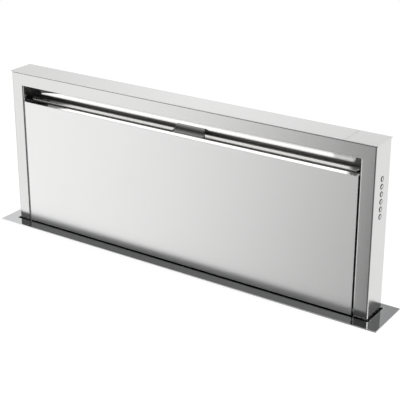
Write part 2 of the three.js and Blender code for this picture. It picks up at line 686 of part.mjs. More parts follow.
// One bent sheet: the front with its window, both side walls and the columns' inner walls.
function frontFrame() {
  const front = frameShape(
    rectangle(THREE.Shape, -TOWER_X, TOWER_X, -SKIRT_HEIGHT, FRAME_TOP),
    rectangle(THREE.Path, -WINDOW_X, WINDOW_X, -WINDOW_SILL, BAND_EDGE),
  );
  const sheets = [extrudeY(front, -TOWER_Y, FRONT_INNER)];
  for (const [, sign] of SIDES) {
    const [wall0, wall1] = span(sign, TOWER_X - TOWER_SHEET, TOWER_X);
    sheets.push(block(wall0, wall1, -TOWER_Y, TOWER_Y, -SKIRT_HEIGHT, FRAME_TOP));
    const [inner0, inner1] = span(sign, WINDOW_X, WINDOW_X + TOWER_SHEET);
    sheets.push(block(inner0, inner1, -TOWER_Y, -TOWER_Y + COLUMN_RETURN, -WINDOW_SILL, BAND_EDGE));
  }
  const keyHoles = KEY_HEIGHTS.map((height) => turnedX(rod(KEY_RADIUS + KEY_CLEARANCE, -OVERCUT, OVERCUT), 24)
    .translate(TOWER_X, 0, height));
  const pinHoleHalf = WINDOW_X + OVERCUT;
  const pinHoles = turnedX(rod(PIN_RADIUS + FIT, -pinHoleHalf, pinHoleHalf), 20)
    .translate(0, PIN_Y, PIVOT_HEIGHT);
  return cut(join(...sheets), ...keyHoles, pinHoles);
}

function caps() {
  const capX = TOWER_X + CAP_OVERHANG;
  const capY = TOWER_Y + CAP_OVERHANG;
  const under = RISE - CAP_THICKNESS;
  const seam = capX - END_CAP_LENGTH;
  return [
    piece('top_plate', 'steel', block(-WALL_INNER, WALL_INNER, FRONT_INNER + FIT, TOWER_Y - TOWER_SHEET - FIT,
      TOP_PLATE_UNDER, TOP_PLATE_TOP)),
    piece('top_cap', 'satin', block(-capX, seam - CAP_SEAM, -capY, capY, under, RISE)),
    piece('control_end_cap', 'satin', block(seam, capX, -capY, capY, under, RISE)),
  ];
}

function lamps() {
  const front = LAMP_FRONT;
  const back = LAMP_BACK;
  const low = BAND_EDGE - LAMP_LIP;
  const high = BAND_EDGE + LAMP_RISE;
  const innerFront = front + LAMP_SHEET;
  const innerBack = back - LAMP_SHEET;
  const channel = polygon([
    [front, low], [innerFront, low], [innerFront, high - LAMP_SHEET], [innerBack, high - LAMP_SHEET],
    [innerBack, low], [back, low], [back, high], [front, high],
  ]);
  const lensFront = innerFront + FIT;
  const lensBack = innerBack - FIT;
  const lensFace = BAND_EDGE - LENS_HANG;
  const notch = block(LAMP_JOINT - LENS_NOTCH / 2, LAMP_JOINT + LENS_NOTCH / 2, front, back,
    lensFace - OVERCUT, lensFace + LENS_NOTCH_DEPTH);
  const lens = polygon([
    [lensFront, low], [lensFront + LENS_TAPER, lensFace], [lensBack - LENS_TAPER, lensFace],
    [lensBack, low], [lensBack, low + LENS_ROOT], [lensFront, low + LENS_ROOT],
  ]);
  const lengths = [
    ['left', -WINDOW_X + LAMP_LEFT_INSET, LAMP_JOINT - FIT / 2],
    ['right', LAMP_JOINT + FIT / 2, WINDOW_X - LAMP_RIGHT_INSET],
  ];
  return lengths.flatMap(([side, x0, x1]) => [
    piece(`lamp_housing_${side}`, 'aluminium', extrudeX(channel, x0, x1)),
    piece(`lamp_lens_${side}`, 'lens', cut(extrudeX(lens, x0, x1), notch)),
  ]);
}

function filters() {
  const end = WINDOW_X - FILTER_SIDE_INSET;
  const bottom = RAIL_TOP + FIT;
  const recessBottom = bottom + FILTER_BORDER;
  const recessTop = FILTER_TOP - FILTER_BORDER;
  const postLeft = POST_OFFSET - POST_WIDTH / 2;
  const postRight = POST_OFFSET + POST_WIDTH / 2;
  const railFront = PANEL_BACK + FIT;
  const railInner = railFront + RAIL_SHEET;
  const rail = polygon([
    [railFront, RAIL_HEIGHT], [FILTER_BACK, RAIL_HEIGHT], [FILTER_BACK, RAIL_TOP],
    [railInner, RAIL_TOP], [railInner, RAIL_TOP + RAIL_LIP], [railFront, RAIL_TOP + RAIL_LIP],
  ]);
  const postWall = FIT + POST_SHEET;
  const coverFront = LAMP_BACK + FIT;
  const post = cut(
    join(
      block(postLeft + FIT, postRight - FIT, FILTER_FRONT, FILTER_BACK, bottom, FILTER_TOP),
      block(postLeft + FIT, postRight - FIT, coverFront, coverFront + POST_SHEET, FILTER_TOP - POST_SHEET,
        TOP_PLATE_UNDER - FIT),
    ),
    block(postLeft + postWall, postRight - postWall, FILTER_FRONT + POST_SHEET, FILTER_BACK + OVERCUT,
      bottom - OVERCUT, FILTER_TOP - POST_SHEET),
  );
  const meshes = [['left', -end, postLeft], ['right', postRight, end]].map(([side, x0, x1]) => {
    const recess = (y0, y1) => block(x0 + FILTER_BORDER, x1 - FILTER_BORDER, y0, y1, recessBottom, recessTop);
    return piece(`filter_${side}`, 'aluminium', cut(
      block(x0, x1, FILTER_FRONT, FILTER_BACK, bottom, FILTER_TOP),
      recess(FILTER_FRONT - OVERCUT, FILTER_FRONT + FILTER_RECESS),
      recess(FILTER_BACK - FILTER_RECESS, FILTER_BACK + OVERCUT),
    ));
  });
  return [
    ...meshes,
    piece('filter_rail', 'galvanised', extrudeX(rail, -WINDOW_X + FIT, WINDOW_X - FIT)),
    piece('centre_post', 'steel', post),
  ];
}

// The rod, nut, bracket and pin that lift the tower; heights here are above the deck plate.
function liftHead() {
  const pinZ = RISE - ROD_PIN_DROP;
  const rodEnd = ROD_END - FLANGE_TOP;
  const tangTop = pinZ + TANG_LENGTH / 2;
  const shoulder = pinZ - TANG_LENGTH / 2;
  const holeHalf = ROD_RADIUS + OVERCUT;
  const pinHole = turnedX(rod(ROD_PIN_RADIUS + FIT, -holeHalf, holeHalf), 20).translate(0, 0, pinZ);
  const tangX = TANG_THICKNESS / 2;
  const tangY = ROD_RADIUS - TANG_INSET;
  const liftRod = cut(
    join(
      turnedZ(rod(ROD_RADIUS, rodEnd, shoulder)),
      block(-tangX, tangX, -tangY, tangY, shoulder - TANG_ROOT, tangTop),
    ),
    turnedZ(rod(ROD_BORE, rodEnd - OVERCUT, shoulder - ROD_CROWN)),
    pinHole,
  );
  const earInner = tangX + FIT;
  const earOuter = earInner + EAR_SHEET;
  const earEnd = shoulder + EAR_GAP;
  const base = BRACKET_BASE / 2;
  const baseTop = TOP_PLATE_UNDER - FIT;
  const baseUnder = baseTop - EAR_SHEET;
  const bracketShape = polygon([
    [-earOuter, earEnd], [-earInner, earEnd], [-earInner, baseUnder], [earInner, baseUnder],
    [earInner, earEnd], [earOuter, earEnd], [earOuter, baseUnder], [base, baseUnder], [base, baseTop],
    [-base, baseTop], [-base, baseUnder], [-earOuter, baseUnder],
  ]);
  const pinHalf = earOuter + ROD_PIN_END;
  const nutTop = rodEnd - FIT;
  const head = assembly(
    piece('actuator_rod', 'steel', liftRod),
    piece('drive_nut', 'brass', turnedZ(
      ring(SCREW_RADIUS + FIT, TUBE_BORE - FIT, nutTop - NUT_LENGTH, nutTop),
    )),
    piece('lift_bracket', 'steel', cut(extrudeY(bracketShape, -EAR_WIDTH / 2, EAR_WIDTH / 2), pinHole)),
    piece('rod_pin', 'steel', turnedX(rod(ROD_PIN_RADIUS, -pinHalf, pinHalf), 20).translate(0, 0, pinZ)),
  );
  head.position.y = LIFT_Y;
  return head;
}

function shoes() {
  const top = SHOE_TOP - FLANGE_TOP;
  const half = SHOE_WIDTH / 2;
  const grooveHalf = GUIDE_WIDTH / 2 + SHOE_CLEARANCE;
  const near = TOWER_X + FIT;
  const far = HOUSING_X - 2 * SHOE_CLEARANCE;
  const groove = HOUSING_X - FIT - GUIDE_THICKNESS - SHOE_CLEARANCE;
  return SIDES.map(([side, sign]) => {
    const outline = polygon([
      [near, -half], [far, -half], [far, -grooveHalf], [groove, -grooveHalf],
      [groove, grooveHalf], [far, grooveHalf], [far, half], [near, half],
    ].map(([x, y]) => [sign * x, y]));
    return piece(`guide_shoe_${side}`, 'white', extrudeZ(outline, top - SHOE_LENGTH, top));
  });
}

function panelFittings() {
  const catchTop = PANEL_TOP - CATCH_DROP;
  const catchFront = PANEL_BACK + FIT;
  const pinTip = WINDOW_X - PIN_REACH;
  const headX = WINDOW_X + TOWER_SHEET + FIT;
  const headEnd = headX + PIN_HEAD_LENGTH;
  return SIDES.flatMap(([side, sign]) => {
    const pin = turnedX([
      [0, pinTip], [PIN_RADIUS, pinTip], [PIN_RADIUS, headX], [PIN_HEAD_RADIUS, headX],
      [PIN_HEAD_RADIUS, headEnd], [0, headEnd],
    ], 20);
    if (sign < 0) pin.rotateZ(Math.PI);
    const [catch0, catch1] = span(sign, WINDOW_X - FILTER_SIDE_INSET + FIT, WINDOW_X - FIT);
    return [
      piece(`panel_pin_${side}`, 'steel', pin.translate(0, PIN_Y, PIVOT_HEIGHT)),
      piece(`panel_catch_${side}`, 'black', block(catch0, catch1, catchFront, catchFront + CATCH_DEPTH,
        catchTop - CATCH_HEIGHT, catchTop)),
    ];
  });
}

const SWITCH_FACE = WALL_INNER - KEY_FLANGE_LENGTH - KEY_STEM_LENGTH - KEY_TRAVEL - FIT;

function controlBoard() {
  const boardFace = SWITCH_FACE - SWITCH_HEIGHT;
  const top = KEY_HEIGHTS[0] + BOARD_MARGIN;
  const bottom = KEY_HEIGHTS[KEY_COUNT - 1] - BOARD_MARGIN;
  const half = SWITCH_SIZE / 2;
  const edge = BOARD_WIDTH / 2;
  const parts = [block(boardFace - BOARD_THICKNESS, boardFace, -edge, edge, bottom, top)];
  for (const height of KEY_HEIGHTS) {
    parts.push(block(boardFace - BOARD_SINK, SWITCH_FACE, -half, half, height - half, height + half));
  }
  for (const y of [-1, 1].map((sign) => sign * (edge - STANDOFF_INSET))) {
    for (const z of [bottom + STANDOFF_INSET, top - STANDOFF_INSET]) {
      parts.push(turnedX(rod(STANDOFF_RADIUS, boardFace - BOARD_SINK, WALL_INNER), 12).translate(0, y, z));
    }
  }
  return piece('control_board', 'board', join(...parts));
}

function keys() {
  const flangeOuter = -TOWER_SHEET - FIT;
  const flangeInner = flangeOuter - KEY_FLANGE_LENGTH;
  const flangeRadius = KEY_RADIUS + KEY_FLANGE;
  const stemEnd = flangeInner - KEY_STEM_LENGTH;
  return KEY_HEIGHTS.map((height, key) => {
    const button = piece(`button_${key + 1}`, 'steel', turnedX([
      [0, stemEnd], [KEY_STEM_RADIUS, stemEnd], [KEY_STEM_RADIUS, flangeInner], [flangeRadius, flangeInner],
      [flangeRadius, flangeOuter], [KEY_RADIUS, flangeOuter], [KEY_RADIUS, KEY_PROUD - KEY_CHAMFER],
      [KEY_RADIUS - KEY_CHAMFER, KEY_PROUD], [0, KEY_PROUD],
    ], 24));
    button.position.set(TOWER_X, 0, height);
    return button;
  });
}

// The access panel, drawn from its pivot: an open-backed pan whose top edge is folded back into a lip.
function frontPanel() {
  const halfWidth = WINDOW_X - PANEL_GAP;
  const front = -PIVOT_INSET;
  const back = front + PANEL_DEPTH;
  const bottom = PANEL_LIFT - PIVOT_HEIGHT;
  const top = PANEL_TOP - PIVOT_HEIGHT;
  const section = new THREE.Shape();
  section.moveTo(front, bottom);
  section.lineTo(back, bottom);
  section.lineTo(back, top - LIP_BEND);
  section.absarc(back - LIP_BEND, top - LIP_BEND, LIP_BEND, 0, Math.PI / 2);
  section.absarc(front + LIP_BEND, top - LIP_BEND, LIP_BEND, Math.PI / 2, Math.PI);
  section.lineTo(front, bottom);
  const inner = halfWidth - PANEL_SHEET;
  const pan = cut(
    extrudeX(section, -halfWidth, halfWidth, 10),
    block(-inner, inner, front + PANEL_SHEET, back + OVERCUT, bottom + PANEL_SHEET, top - PANEL_DEPTH),
    turnedX(rod(PIN_RADIUS + PIN_CLEARANCE, -WINDOW_X, WINDOW_X), 20),
  );
  const panel = piece('front_panel', 'satin', pan);
  panel.position.set(0, PIN_Y, PIVOT_HEIGHT);
  return panel;
}

function tower() {
  const group = assembly(
    piece('front_frame', 'satin', frontFrame()),
    piece('back_panel', 'satin', block(
      -WALL_INNER, WALL_INNER, TOWER_Y - TOWER_SHEET, TOWER_Y, -SKIRT_HEIGHT, FRAME_TOP,
    )),
    ...caps(),
    ...lamps(),
    ...filters(),
    liftHead(),
    ...shoes(),
    ...panelFittings(),
    controlBoard(),
    ...keys(),
    frontPanel(),
  );
  group.position.z = FLANGE_TOP;
  return group;
}

const vent = assembly(deckPlate(), housing(), lift(), blower(), electronics(), tower());

export default vent;
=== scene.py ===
import json
import math

import bpy
import bmesh
import numpy as np
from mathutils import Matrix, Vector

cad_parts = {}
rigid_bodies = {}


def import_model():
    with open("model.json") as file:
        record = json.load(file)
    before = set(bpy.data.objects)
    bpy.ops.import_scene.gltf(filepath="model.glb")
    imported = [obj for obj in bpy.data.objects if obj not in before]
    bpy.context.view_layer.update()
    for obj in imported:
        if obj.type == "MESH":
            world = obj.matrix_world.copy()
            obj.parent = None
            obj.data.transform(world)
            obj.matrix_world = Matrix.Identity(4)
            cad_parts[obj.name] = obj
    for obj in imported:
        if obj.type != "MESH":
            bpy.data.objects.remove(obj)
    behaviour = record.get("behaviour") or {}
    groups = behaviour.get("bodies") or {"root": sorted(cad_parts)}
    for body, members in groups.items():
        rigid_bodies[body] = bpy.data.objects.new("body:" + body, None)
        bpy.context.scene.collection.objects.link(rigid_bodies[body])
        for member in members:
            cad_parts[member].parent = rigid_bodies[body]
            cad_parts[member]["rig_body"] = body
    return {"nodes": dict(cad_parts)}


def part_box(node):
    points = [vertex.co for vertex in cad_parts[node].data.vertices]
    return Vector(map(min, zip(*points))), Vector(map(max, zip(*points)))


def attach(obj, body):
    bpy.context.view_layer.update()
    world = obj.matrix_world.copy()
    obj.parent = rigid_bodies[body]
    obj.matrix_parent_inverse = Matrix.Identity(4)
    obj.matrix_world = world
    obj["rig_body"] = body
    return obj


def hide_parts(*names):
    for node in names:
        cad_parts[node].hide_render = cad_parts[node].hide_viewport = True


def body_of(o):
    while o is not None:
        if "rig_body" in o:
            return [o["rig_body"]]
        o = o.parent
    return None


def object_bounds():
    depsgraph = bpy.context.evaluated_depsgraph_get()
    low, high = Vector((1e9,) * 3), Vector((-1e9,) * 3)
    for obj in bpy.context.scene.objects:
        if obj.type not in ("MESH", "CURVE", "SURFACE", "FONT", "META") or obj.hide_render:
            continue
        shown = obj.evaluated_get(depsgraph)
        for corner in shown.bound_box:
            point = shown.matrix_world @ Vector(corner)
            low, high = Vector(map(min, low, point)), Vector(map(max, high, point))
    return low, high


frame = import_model()
cad_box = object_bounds()

# ---- worktop, room, lamps and camera
# A pale worktop carries the vent and has the cut-out that the deck plate covers. The room is white behind,
# beside and above the vent and darker on the side from which it is seen, which models the brushed sheets.

MM = 0.001
CUT_OUT = (428 * MM, 40 * MM)  # half its length and half its width
WORKTOP = ((-0.47, -0.82), (0.80, 0.06))  # near left and far right corners
WORKTOP_THICKNESS = 0.03
FLOOR_SIZE = 3.0
STONE = (0.8, 0.8, 0.79, 1)
STONE_WHITE = 1.12
# Brightness of four parts of the room as stops of (place from 0 at the left to 1 at the right, brightness).
NEAR_LOW = [(0.0, 0.8), (0.10, 0.98), (0.17, 1.15), (0.22, 1.18), (0.26, 0.9), (0.285, 0.56), (0.31, 0.31),
            (0.35, 0.14), (0.75, 0.14), (0.89, 0.10), (0.99, 0.85)]
NEAR_HIGH = [(0.15, 0.13), (0.30, 0.04), (0.86, 0.04), (0.95, 0.9)]
FAR_LOW = [(0.10, 0.62), (0.175, 0.75), (0.235, 1.0), (0.31, 0.88), (0.5, 0.98), (0.9, 1.0)]
FAR_HIGH = [(0.2, 0.8), (0.33, 0.36), (0.5, 0.12), (0.75, 0.1), (0.88, 0.8)]
# Where the parts blend: three spans of the height and one of the depth, from 0 to 1.
NEAR_BLEND, FAR_BLEND, CEILING_BLEND, DEPTH_BLEND = (0.48, 0.60), (0.68, 0.715), (0.76, 0.90), (0.30, 0.48)
CAMERA_PLACE = (1.115918, -1.608561, 0.948327)
CAMERA_DOWN = 20.624  # degrees, like the turn
CAMERA_TURN = 33.861
CAMERA_LENS = 98.41
CAMERA_SHIFT = -0.1


def nodes_of(tree):
    """Adds a shader node of one kind, sets plain values on it and links what is a socket."""
    def add(kind, inputs=(), **settings):
        node = tree.nodes.new("ShaderNode" + kind)
        for key, value in settings.items():
            setattr(node, key, value)
        for key, value in dict(inputs).items():
            if isinstance(value, bpy.types.NodeSocket):
                tree.links.new(value, node.inputs[key])
            else:
                node.inputs[key].default_value = value
        return node
    return add


def ramp(add, value, stops, smooth=False):
    """A number that runs through the given (position, number) stops."""
    node = add("ValToRGB", {"Fac": value})
    node.color_ramp.interpolation = "EASE" if smooth else "LINEAR"
    elements = node.color_ramp.elements
    elements[0].position, elements[1].position = stops[0][0], stops[-1][0]
    for position, _ in stops[1:-1]:
        elements.new(position)
    for element, (_, number) in zip(elements, stops):
        element.color = (number, number, number, 1)
    return node.outputs["Color"]


def mapped(add, value, start, end, low=0.0, high=1.0):
    """A number from low to high by where the value lies between start and end."""
    return add("MapRange", {"Value": value, "From Min": start, "From Max": end,
                                      "To Min": low, "To Max": high}).outputs[0]


def mixed(add, share, a, b):
    return add("Mix", {"Factor": share, "A": a, "B": b}).outputs[0]


def room_light():
    """Brightness by direction: the near and far sides each pass from low to high with the height, the
    ceiling over them is white, and a camera ray sees plain white."""
    world = bpy.data.worlds.new("white_room")
    bpy.context.scene.world = world
    world.use_nodes = True
    world.node_tree.nodes.clear()
    add = nodes_of(world.node_tree)
    part = add("SeparateXYZ", {"Vector": add("TexCoord").outputs["Generated"]}).outputs
    x, y, z = (mapped(add, part[axis], -1.0, 1.0) for axis in "XYZ")

    def blend(value, span, a, b):
        return mixed(add, ramp(add, value, [(span[0], 0.0), (span[1], 1.0)], True), a, b)

    near = blend(z, NEAR_BLEND, ramp(add, x, NEAR_LOW), ramp(add, x, NEAR_HIGH))
    far = blend(z, FAR_BLEND, ramp(add, x, FAR_LOW), ramp(add, x, FAR_HIGH))
    light = blend(z, CEILING_BLEND, blend(y, DEPTH_BLEND, near, far), 1.0)
    strength = mixed(add, add("LightPath").outputs["Is Camera Ray"], light, 1.0)
    back = add("Background", {"Color": (1, 1, 1, 1), "Strength": strength}).outputs[0]
    add("OutputWorld", {"Surface": back})


def white_to_camera(name, share):
    """Matt pale stone that is white to the camera by a share, which leaves the rest to its shadows."""
    pale = bpy.data.materials.new(name)
    pale.use_nodes = True
    pale.node_tree.nodes.clear()
    add = nodes_of(pale.node_tree)
    matt = add("BsdfDiffuse", {"Color": STONE}).outputs[0]
    white = add("Emission", {"Color": (1, 1, 1, 1), "Strength": STONE_WHITE}).outputs[0]
    shown = add("MixShader", {0: share, 1: matt, 2: white}).outputs[0]
    clear = add("BsdfTransparent").outputs[0]
    seen = add("LightPath").outputs["Is Camera Ray"]
    surface = add("MixShader", {0: seen, 1: clear, 2: shown}).outputs[0]
    add("OutputMaterial", {"Surface": surface})
    return pale


def placed(name, data):
    piece = bpy.data.objects.new(name, data)
    bpy.context.scene.collection.objects.link(piece)
    return piece


def staged(name, corners, faces, *finishes):
    """A mesh that belongs to the room and not to the vent."""
    mesh = bpy.data.meshes.new(name)
    mesh.from_pydata(corners, [], faces)
    for finish in finishes:
        mesh.materials.append(finish)
    placed(name, mesh)
    return mesh


def worktop():
    """A slab with a rectangular hole: four top quads, the same below, and the outer and inner edges. Its
    top is white to the camera, and so is the cabinet floor below."""
    x, y = CUT_OUT
    (x0, y0), (x1, y1) = WORKTOP
    ring = [(x0, y0), (x1, y0), (x1, y1), (x0, y1), (-x, -y), (x, -y), (x, y), (-x, y)]
    corners = [(a, b, h) for h in (0, -WORKTOP_THICKNESS) for a, b in ring]
    pairs = [(k, (k + 1) % 4) for k in range(4)]
    top = [(k, n, 4 + n, 4 + k) for k, n in pairs]
    under = [tuple(8 + v for v in reversed(quad)) for quad in top]
    outer = [(k, 8 + k, 8 + n, n) for k, n in pairs]
    inner = [(4 + k, 4 + n, 12 + n, 12 + k) for k, n in pairs]
    slab = staged("worktop", corners, top + under + outer + inner,
                  white_to_camera("worktop_top", 0.8), white_to_camera("worktop_edge", 0.0))
    for face in slab.polygons[len(top):]:
        face.material_index = 1
    e, bottom = FLOOR_SIZE, cad_box[0][2]
    floor = [(-e, -e, bottom), (e, -e, bottom), (e, e, bottom), (-e, e, bottom)]
    staged("cabinet_floor", floor, [(0, 1, 2, 3)], white_to_camera("pale_floor", 0.85))


def soft_lamp(name, place, target, size, power):
    """A square area lamp that faces a point."""
    data = bpy.data.lights.new(name, "AREA")
    data.shape, data.size, data.energy = "SQUARE", size, power
    lamp = placed(name, data)
    lamp.location = place
    gap = np.array(target) - np.array(place)
    lamp.rotation_euler = (math.atan2(math.hypot(gap[0], gap[1]), -gap[2]), 0, math.atan2(-gap[0], gap[1]))


def camera():
    data = bpy.data.cameras.new("camera")
    data.sensor_width, data.lens, data.shift_y = 36.0, CAMERA_LENS, CAMERA_SHIFT
    view = placed("camera", data)
    view.location = CAMERA_PLACE
    view.rotation_euler = (math.radians(90 - CAMERA_DOWN), 0, math.radians(CAMERA_TURN))
    bpy.context.scene.camera = view


bpy.context.scene.view_settings.view_transform = "Standard"
room_light()
worktop()
soft_lamp("ceiling_lamp", (-0.6, 0.2, 2.4), (0, 0, 0.1), 1.6, 12)
soft_lamp("side_lamp", (2.2, 1.2, 1.3), (0.4, 0, 0.15), 1.2, 10)
camera()

# ---- deck plate and seal
# The plate is 2 mm stainless sheet, polished like a mirror, with softened edges and a lip turned down
# round the slot for the tower. A foam ring seals it on the worktop.

DECK_SHEET = 2.0
DECK_CORNER = 1.5
SLOT_GAP = 4.0  # from the lip to the tower
LIP_SHEET = 1.2


def box_of(node):
    """A fixed node's lowest and highest corner, in millimetres."""
    return [[round(value / MM, 3) for value in corner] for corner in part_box(node)]


def centre_of(node):
    """The middle of a fixed node's box, in millimetres."""
    return [sum(ends) / 2 for ends in zip(*box_of(node))]


def loop(x0, x1, y0, y1, radius, steps=4):
    """A rectangle with round corners as a closed path: each corner is a quarter circle of the radius."""
    turn = np.linspace(0, math.pi / 2, steps + 1)
    centres = [(x1 - radius, y1 - radius), (x0 + radius, y1 - radius), (x0 + radius, y0 + radius),
               (x1 - radius, y0 + radius)]
    turns = [turn + k * math.pi / 2 for k in range(4)]
    return np.concatenate([np.stack([cx + radius * np.cos(t), cy + radius * np.sin(t)], 1)
                           for t, (cx, cy) in zip(turns, centres)])


def skin(points, close_rows=False, caps=False):
    """A grid of points (rows, columns, 3) as a mesh: a quad between each four neighbours, and where caps
    is set, one face over the first row and one over the last."""
    rows, columns = points.shape[:2]
    i = np.arange(rows if close_rows else rows - 1)[:, None]
    j = np.arange(columns)[None, :]
    i2, j2 = (i + 1) % rows, (j + 1) % columns
    corners = (i * columns + j, i * columns + j2, i2 * columns + j2, i2 * columns + j)
    faces = np.stack(np.broadcast_arrays(*corners), -1).reshape(-1, 4).tolist()
    if caps:
        faces += [list(range(columns)), list(range((rows - 1) * columns, rows * columns))]
    return points.reshape(-1, 3), faces


def stacked(rows, **how):
    """A skin over flat paths, each given as (path, height)."""
    return skin(np.stack([np.column_stack([path, np.full(len(path), z)]) for path, z in rows]), **how)


def ring_of(rows):
    """A closed skin round a hole: each row is (path, height), and the last row joins the first."""
    return stacked(rows, close_rows=True)


def turned_way(part, axis):
    """The part with its own Z laid along X or Y by a turn of its axes."""
    points, faces = part
    order = {"x": [2, 0, 1], "y": [0, 2, 1], "z": [0, 1, 2]}[axis]
    return points[:, order], faces


def moved(part, offset):
    return part[0] + np.array(offset), part[1]


def copies(part, places):
    """The same part at each place."""
    points, faces = part
    places = np.array(places, float)
    count = len(points)
    grid = (points[None] + places[:, None]).reshape(-1, 3)
    return grid, [[v + k * count for v in face] for k in range(len(places)) for face in faces]


def build(name, parts, finish, body, slot, replaces=(), bevel=0.0, angle=32):
    """One object from several closed parts, in millimetres: faces turned outwards, smooth except at
    corners sharper than the angle, edges rounded by the bevel, flat faces kept flat."""
    points, faces, start = [], [], 0
    for part_points, part_faces in parts:
        points.append(part_points)
        faces += [[v + start for v in face] for face in part_faces]
        start += len(part_points)
    mesh = bpy.data.meshes.new(name)
    mesh.from_pydata((np.concatenate(points) * MM).tolist(), [], faces)
    work = bmesh.new()
    work.from_mesh(mesh)
    bmesh.ops.recalc_face_normals(work, faces=work.faces)
    work.to_mesh(mesh)
    work.free()
    mesh.polygons.foreach_set("use_smooth", np.ones(len(mesh.polygons), bool))
    mesh.set_sharp_from_angle(angle=math.radians(angle))
    mesh.materials.append(finish)
    piece = placed(name, mesh)
    if bevel:
        edge = piece.modifiers.new("edge", "BEVEL")
        edge.width, edge.segments, edge.limit_method = bevel * MM, 2, "ANGLE"
        edge.angle_limit = math.radians(angle)
    flat = piece.modifiers.new("flat", "WEIGHTED_NORMAL")
    flat.keep_sharp, flat.weight = True, 80
    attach(piece, body)
    if replaces:
        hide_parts(*replaces)


def stand_in(name, parts, finish, node, **how):
    """One object that stands for a fixed node: it rides on the node's body."""
    cad = frame["nodes"][node]
    build(name, parts, finish, body_of(cad)[0], cad.data.materials[0].name, [node], **how)


def patterned(name, dark, light, metal, rough, stretch, scale, bump, pattern="noise", mottle=0.0, **direct):
    """A finish whose pattern, in millimetres on the piece, moves its colour between two, its roughness
    between two, and its surface by the bump, with broad soft patches of the mottle strength."""
    material = bpy.data.materials.new(name)
    material.use_nodes = True
    tree = material.node_tree
    add = nodes_of(tree)
    shader = tree.nodes["Principled BSDF"]
    place = add("TexCoord").outputs["Object"]
    local = add("Mapping", {"Vector": place, "Scale": [s / MM for s in stretch]}).outputs[0]
    given = {"Vector": local, "Scale": scale}
    if pattern == "noise":
        value = add("TexNoise", {**given, "Detail": 4.0, "Roughness": 0.6}).outputs["Fac"]
    elif pattern == "cells":
        cell = add("TexVoronoi", given).outputs["Color"]
        value = add("SeparateColor", {"Color": cell}).outputs[0]
    else:
        value = add("TexWave", {**given, "Distortion": 0.6}, bands_direction=pattern).outputs["Fac"]
    tone = value
    if mottle:
        broad = add("TexNoise", {"Vector": place, "Scale": 9.0, "Detail": 2.0}).outputs["Fac"]
        tone = mixed(add, mottle, value, broad)
    colour = add("Mix", {0: tone, 6: (*dark, 1), 7: (*light, 1)}, data_type="RGBA")
    relief = add("Bump", {"Height": value, "Strength": bump[0], "Distance": bump[1] * MM})
    tree.links.new(colour.outputs[2], shader.inputs["Base Color"])
    tree.links.new(mapped(add, tone, 0.0, 1.0, *rough), shader.inputs["Roughness"])
    tree.links.new(relief.outputs[0], shader.inputs["Normal"])
    shader.inputs["Metallic"].default_value = metal
    for key, number in direct.items():
        shader.inputs[key.replace("_", " ")].default_value = number
    return material


mirror_steel = patterned("mirror_steel", (0.70, 0.71, 0.72), (0.77, 0.77, 0.78), 1.0, (0.05, 0.09),
                         (0.02, 0.3, 0.3), 1.0, (0.02, 0.05), mottle=0.4)
foam_black = patterned("foam_black", (0.015, 0.015, 0.017), (0.05, 0.05, 0.055), 0.0, (0.85, 1.0),
                       (1, 1, 1), 1.2, (0.7, 0.4))


def deck_plate():
    """The plate's section carried round: softened outer edge, flat top, bend into the lip, and back."""
    (x0, y0, foot), (x1, y1, top) = box_of("deck_flange")
    (left, front, _), (right, back, _) = box_of("front_frame")
    under = top - DECK_SHEET

    def outer(inset):
        return loop(x0 + inset, x1 - inset, y0 + inset, y1 - inset, DECK_CORNER - inset / 2)

    def slot(out):
        gap = SLOT_GAP + out
        return loop(left - gap, right + gap, front - gap, back + gap, (1 + out) / 2)

    rows = [(outer(0.3), under), (outer(0), under + 0.3), (outer(0), top - 0.4), (outer(0.12), top - 0.12),
            (outer(0.4), top), (outer(1.5), top), (slot(LIP_SHEET), top), (slot(0.3), top),
            (slot(0.09), top - 0.09), (slot(0), top - 0.3), (slot(0), foot + 0.4), (slot(0.3), foot),
            (slot(LIP_SHEET - 0.3), foot), (slot(LIP_SHEET), foot + 0.4), (slot(LIP_SHEET), under)]
    stand_in("deck_plate_sheet", [ring_of(rows)], mirror_steel, "deck_flange")


deck_plate()
frame["nodes"]["deck_seal"].data.materials.clear()
frame["nodes"]["deck_seal"].data.materials.append(foam_black)

# ---- tower front sheet
# One sheet of 1.2 mm satin stainless, bent round the front corners and back into the window, where it
# forms the columns. The right wall has the six holes for the keys. The grain runs along the sheet.

SHEET = 1.2
BEND = 3.0
COLUMN_WIDTH = 29
COLUMN_DEPTH = 38
WINDOW = (1.0, 303.0)
FRONT_TOP = box_of("top_plate")[0][2]
KEY_HOLE = 5.2
KEY_HEIGHTS = [centre_of(f"button_{number}")[2] for number in range(1, 7)]


def brushed(name, dark, light, rough, **direct):
    """Satin metal with its grain along X."""
    return patterned(name, dark, light, 1.0, rough, (0.012, 2.2, 2.2), 1.0, (0.05, 0.02), "noise", 0.35,
                     **direct)


satin_steel = brushed("satin_steel", (0.65, 0.65, 0.645), (0.75, 0.75, 0.745), (0.15, 0.24), Anisotropic=0.3)


def rounded(corners, radius):
    """A polyline with each inner corner replaced by an arc of the radius that touches both sides."""
    corners = np.array(corners, float)
    path = [corners[0]]
    for before, here, after in zip(corners, corners[1:], corners[2:]):
        a = (before - here) / np.linalg.norm(before - here)
        b = (after - here) / np.linalg.norm(after - here)
        half = math.acos(np.clip(a @ b, -1, 1)) / 2
        reach = radius / math.tan(half)
        centre = here + (a + b) / np.linalg.norm(a + b) * radius / math.sin(half)
        start, end = here + a * reach - centre, here + b * reach - centre
        swing = np.linspace(0, 1, 6)[:, None]
        arc = start * (1 - swing) + end * swing
        path.extend(centre + arc / np.linalg.norm(arc, axis=1)[:, None] * radius)
    path.append(corners[-1])
    return np.array(path)


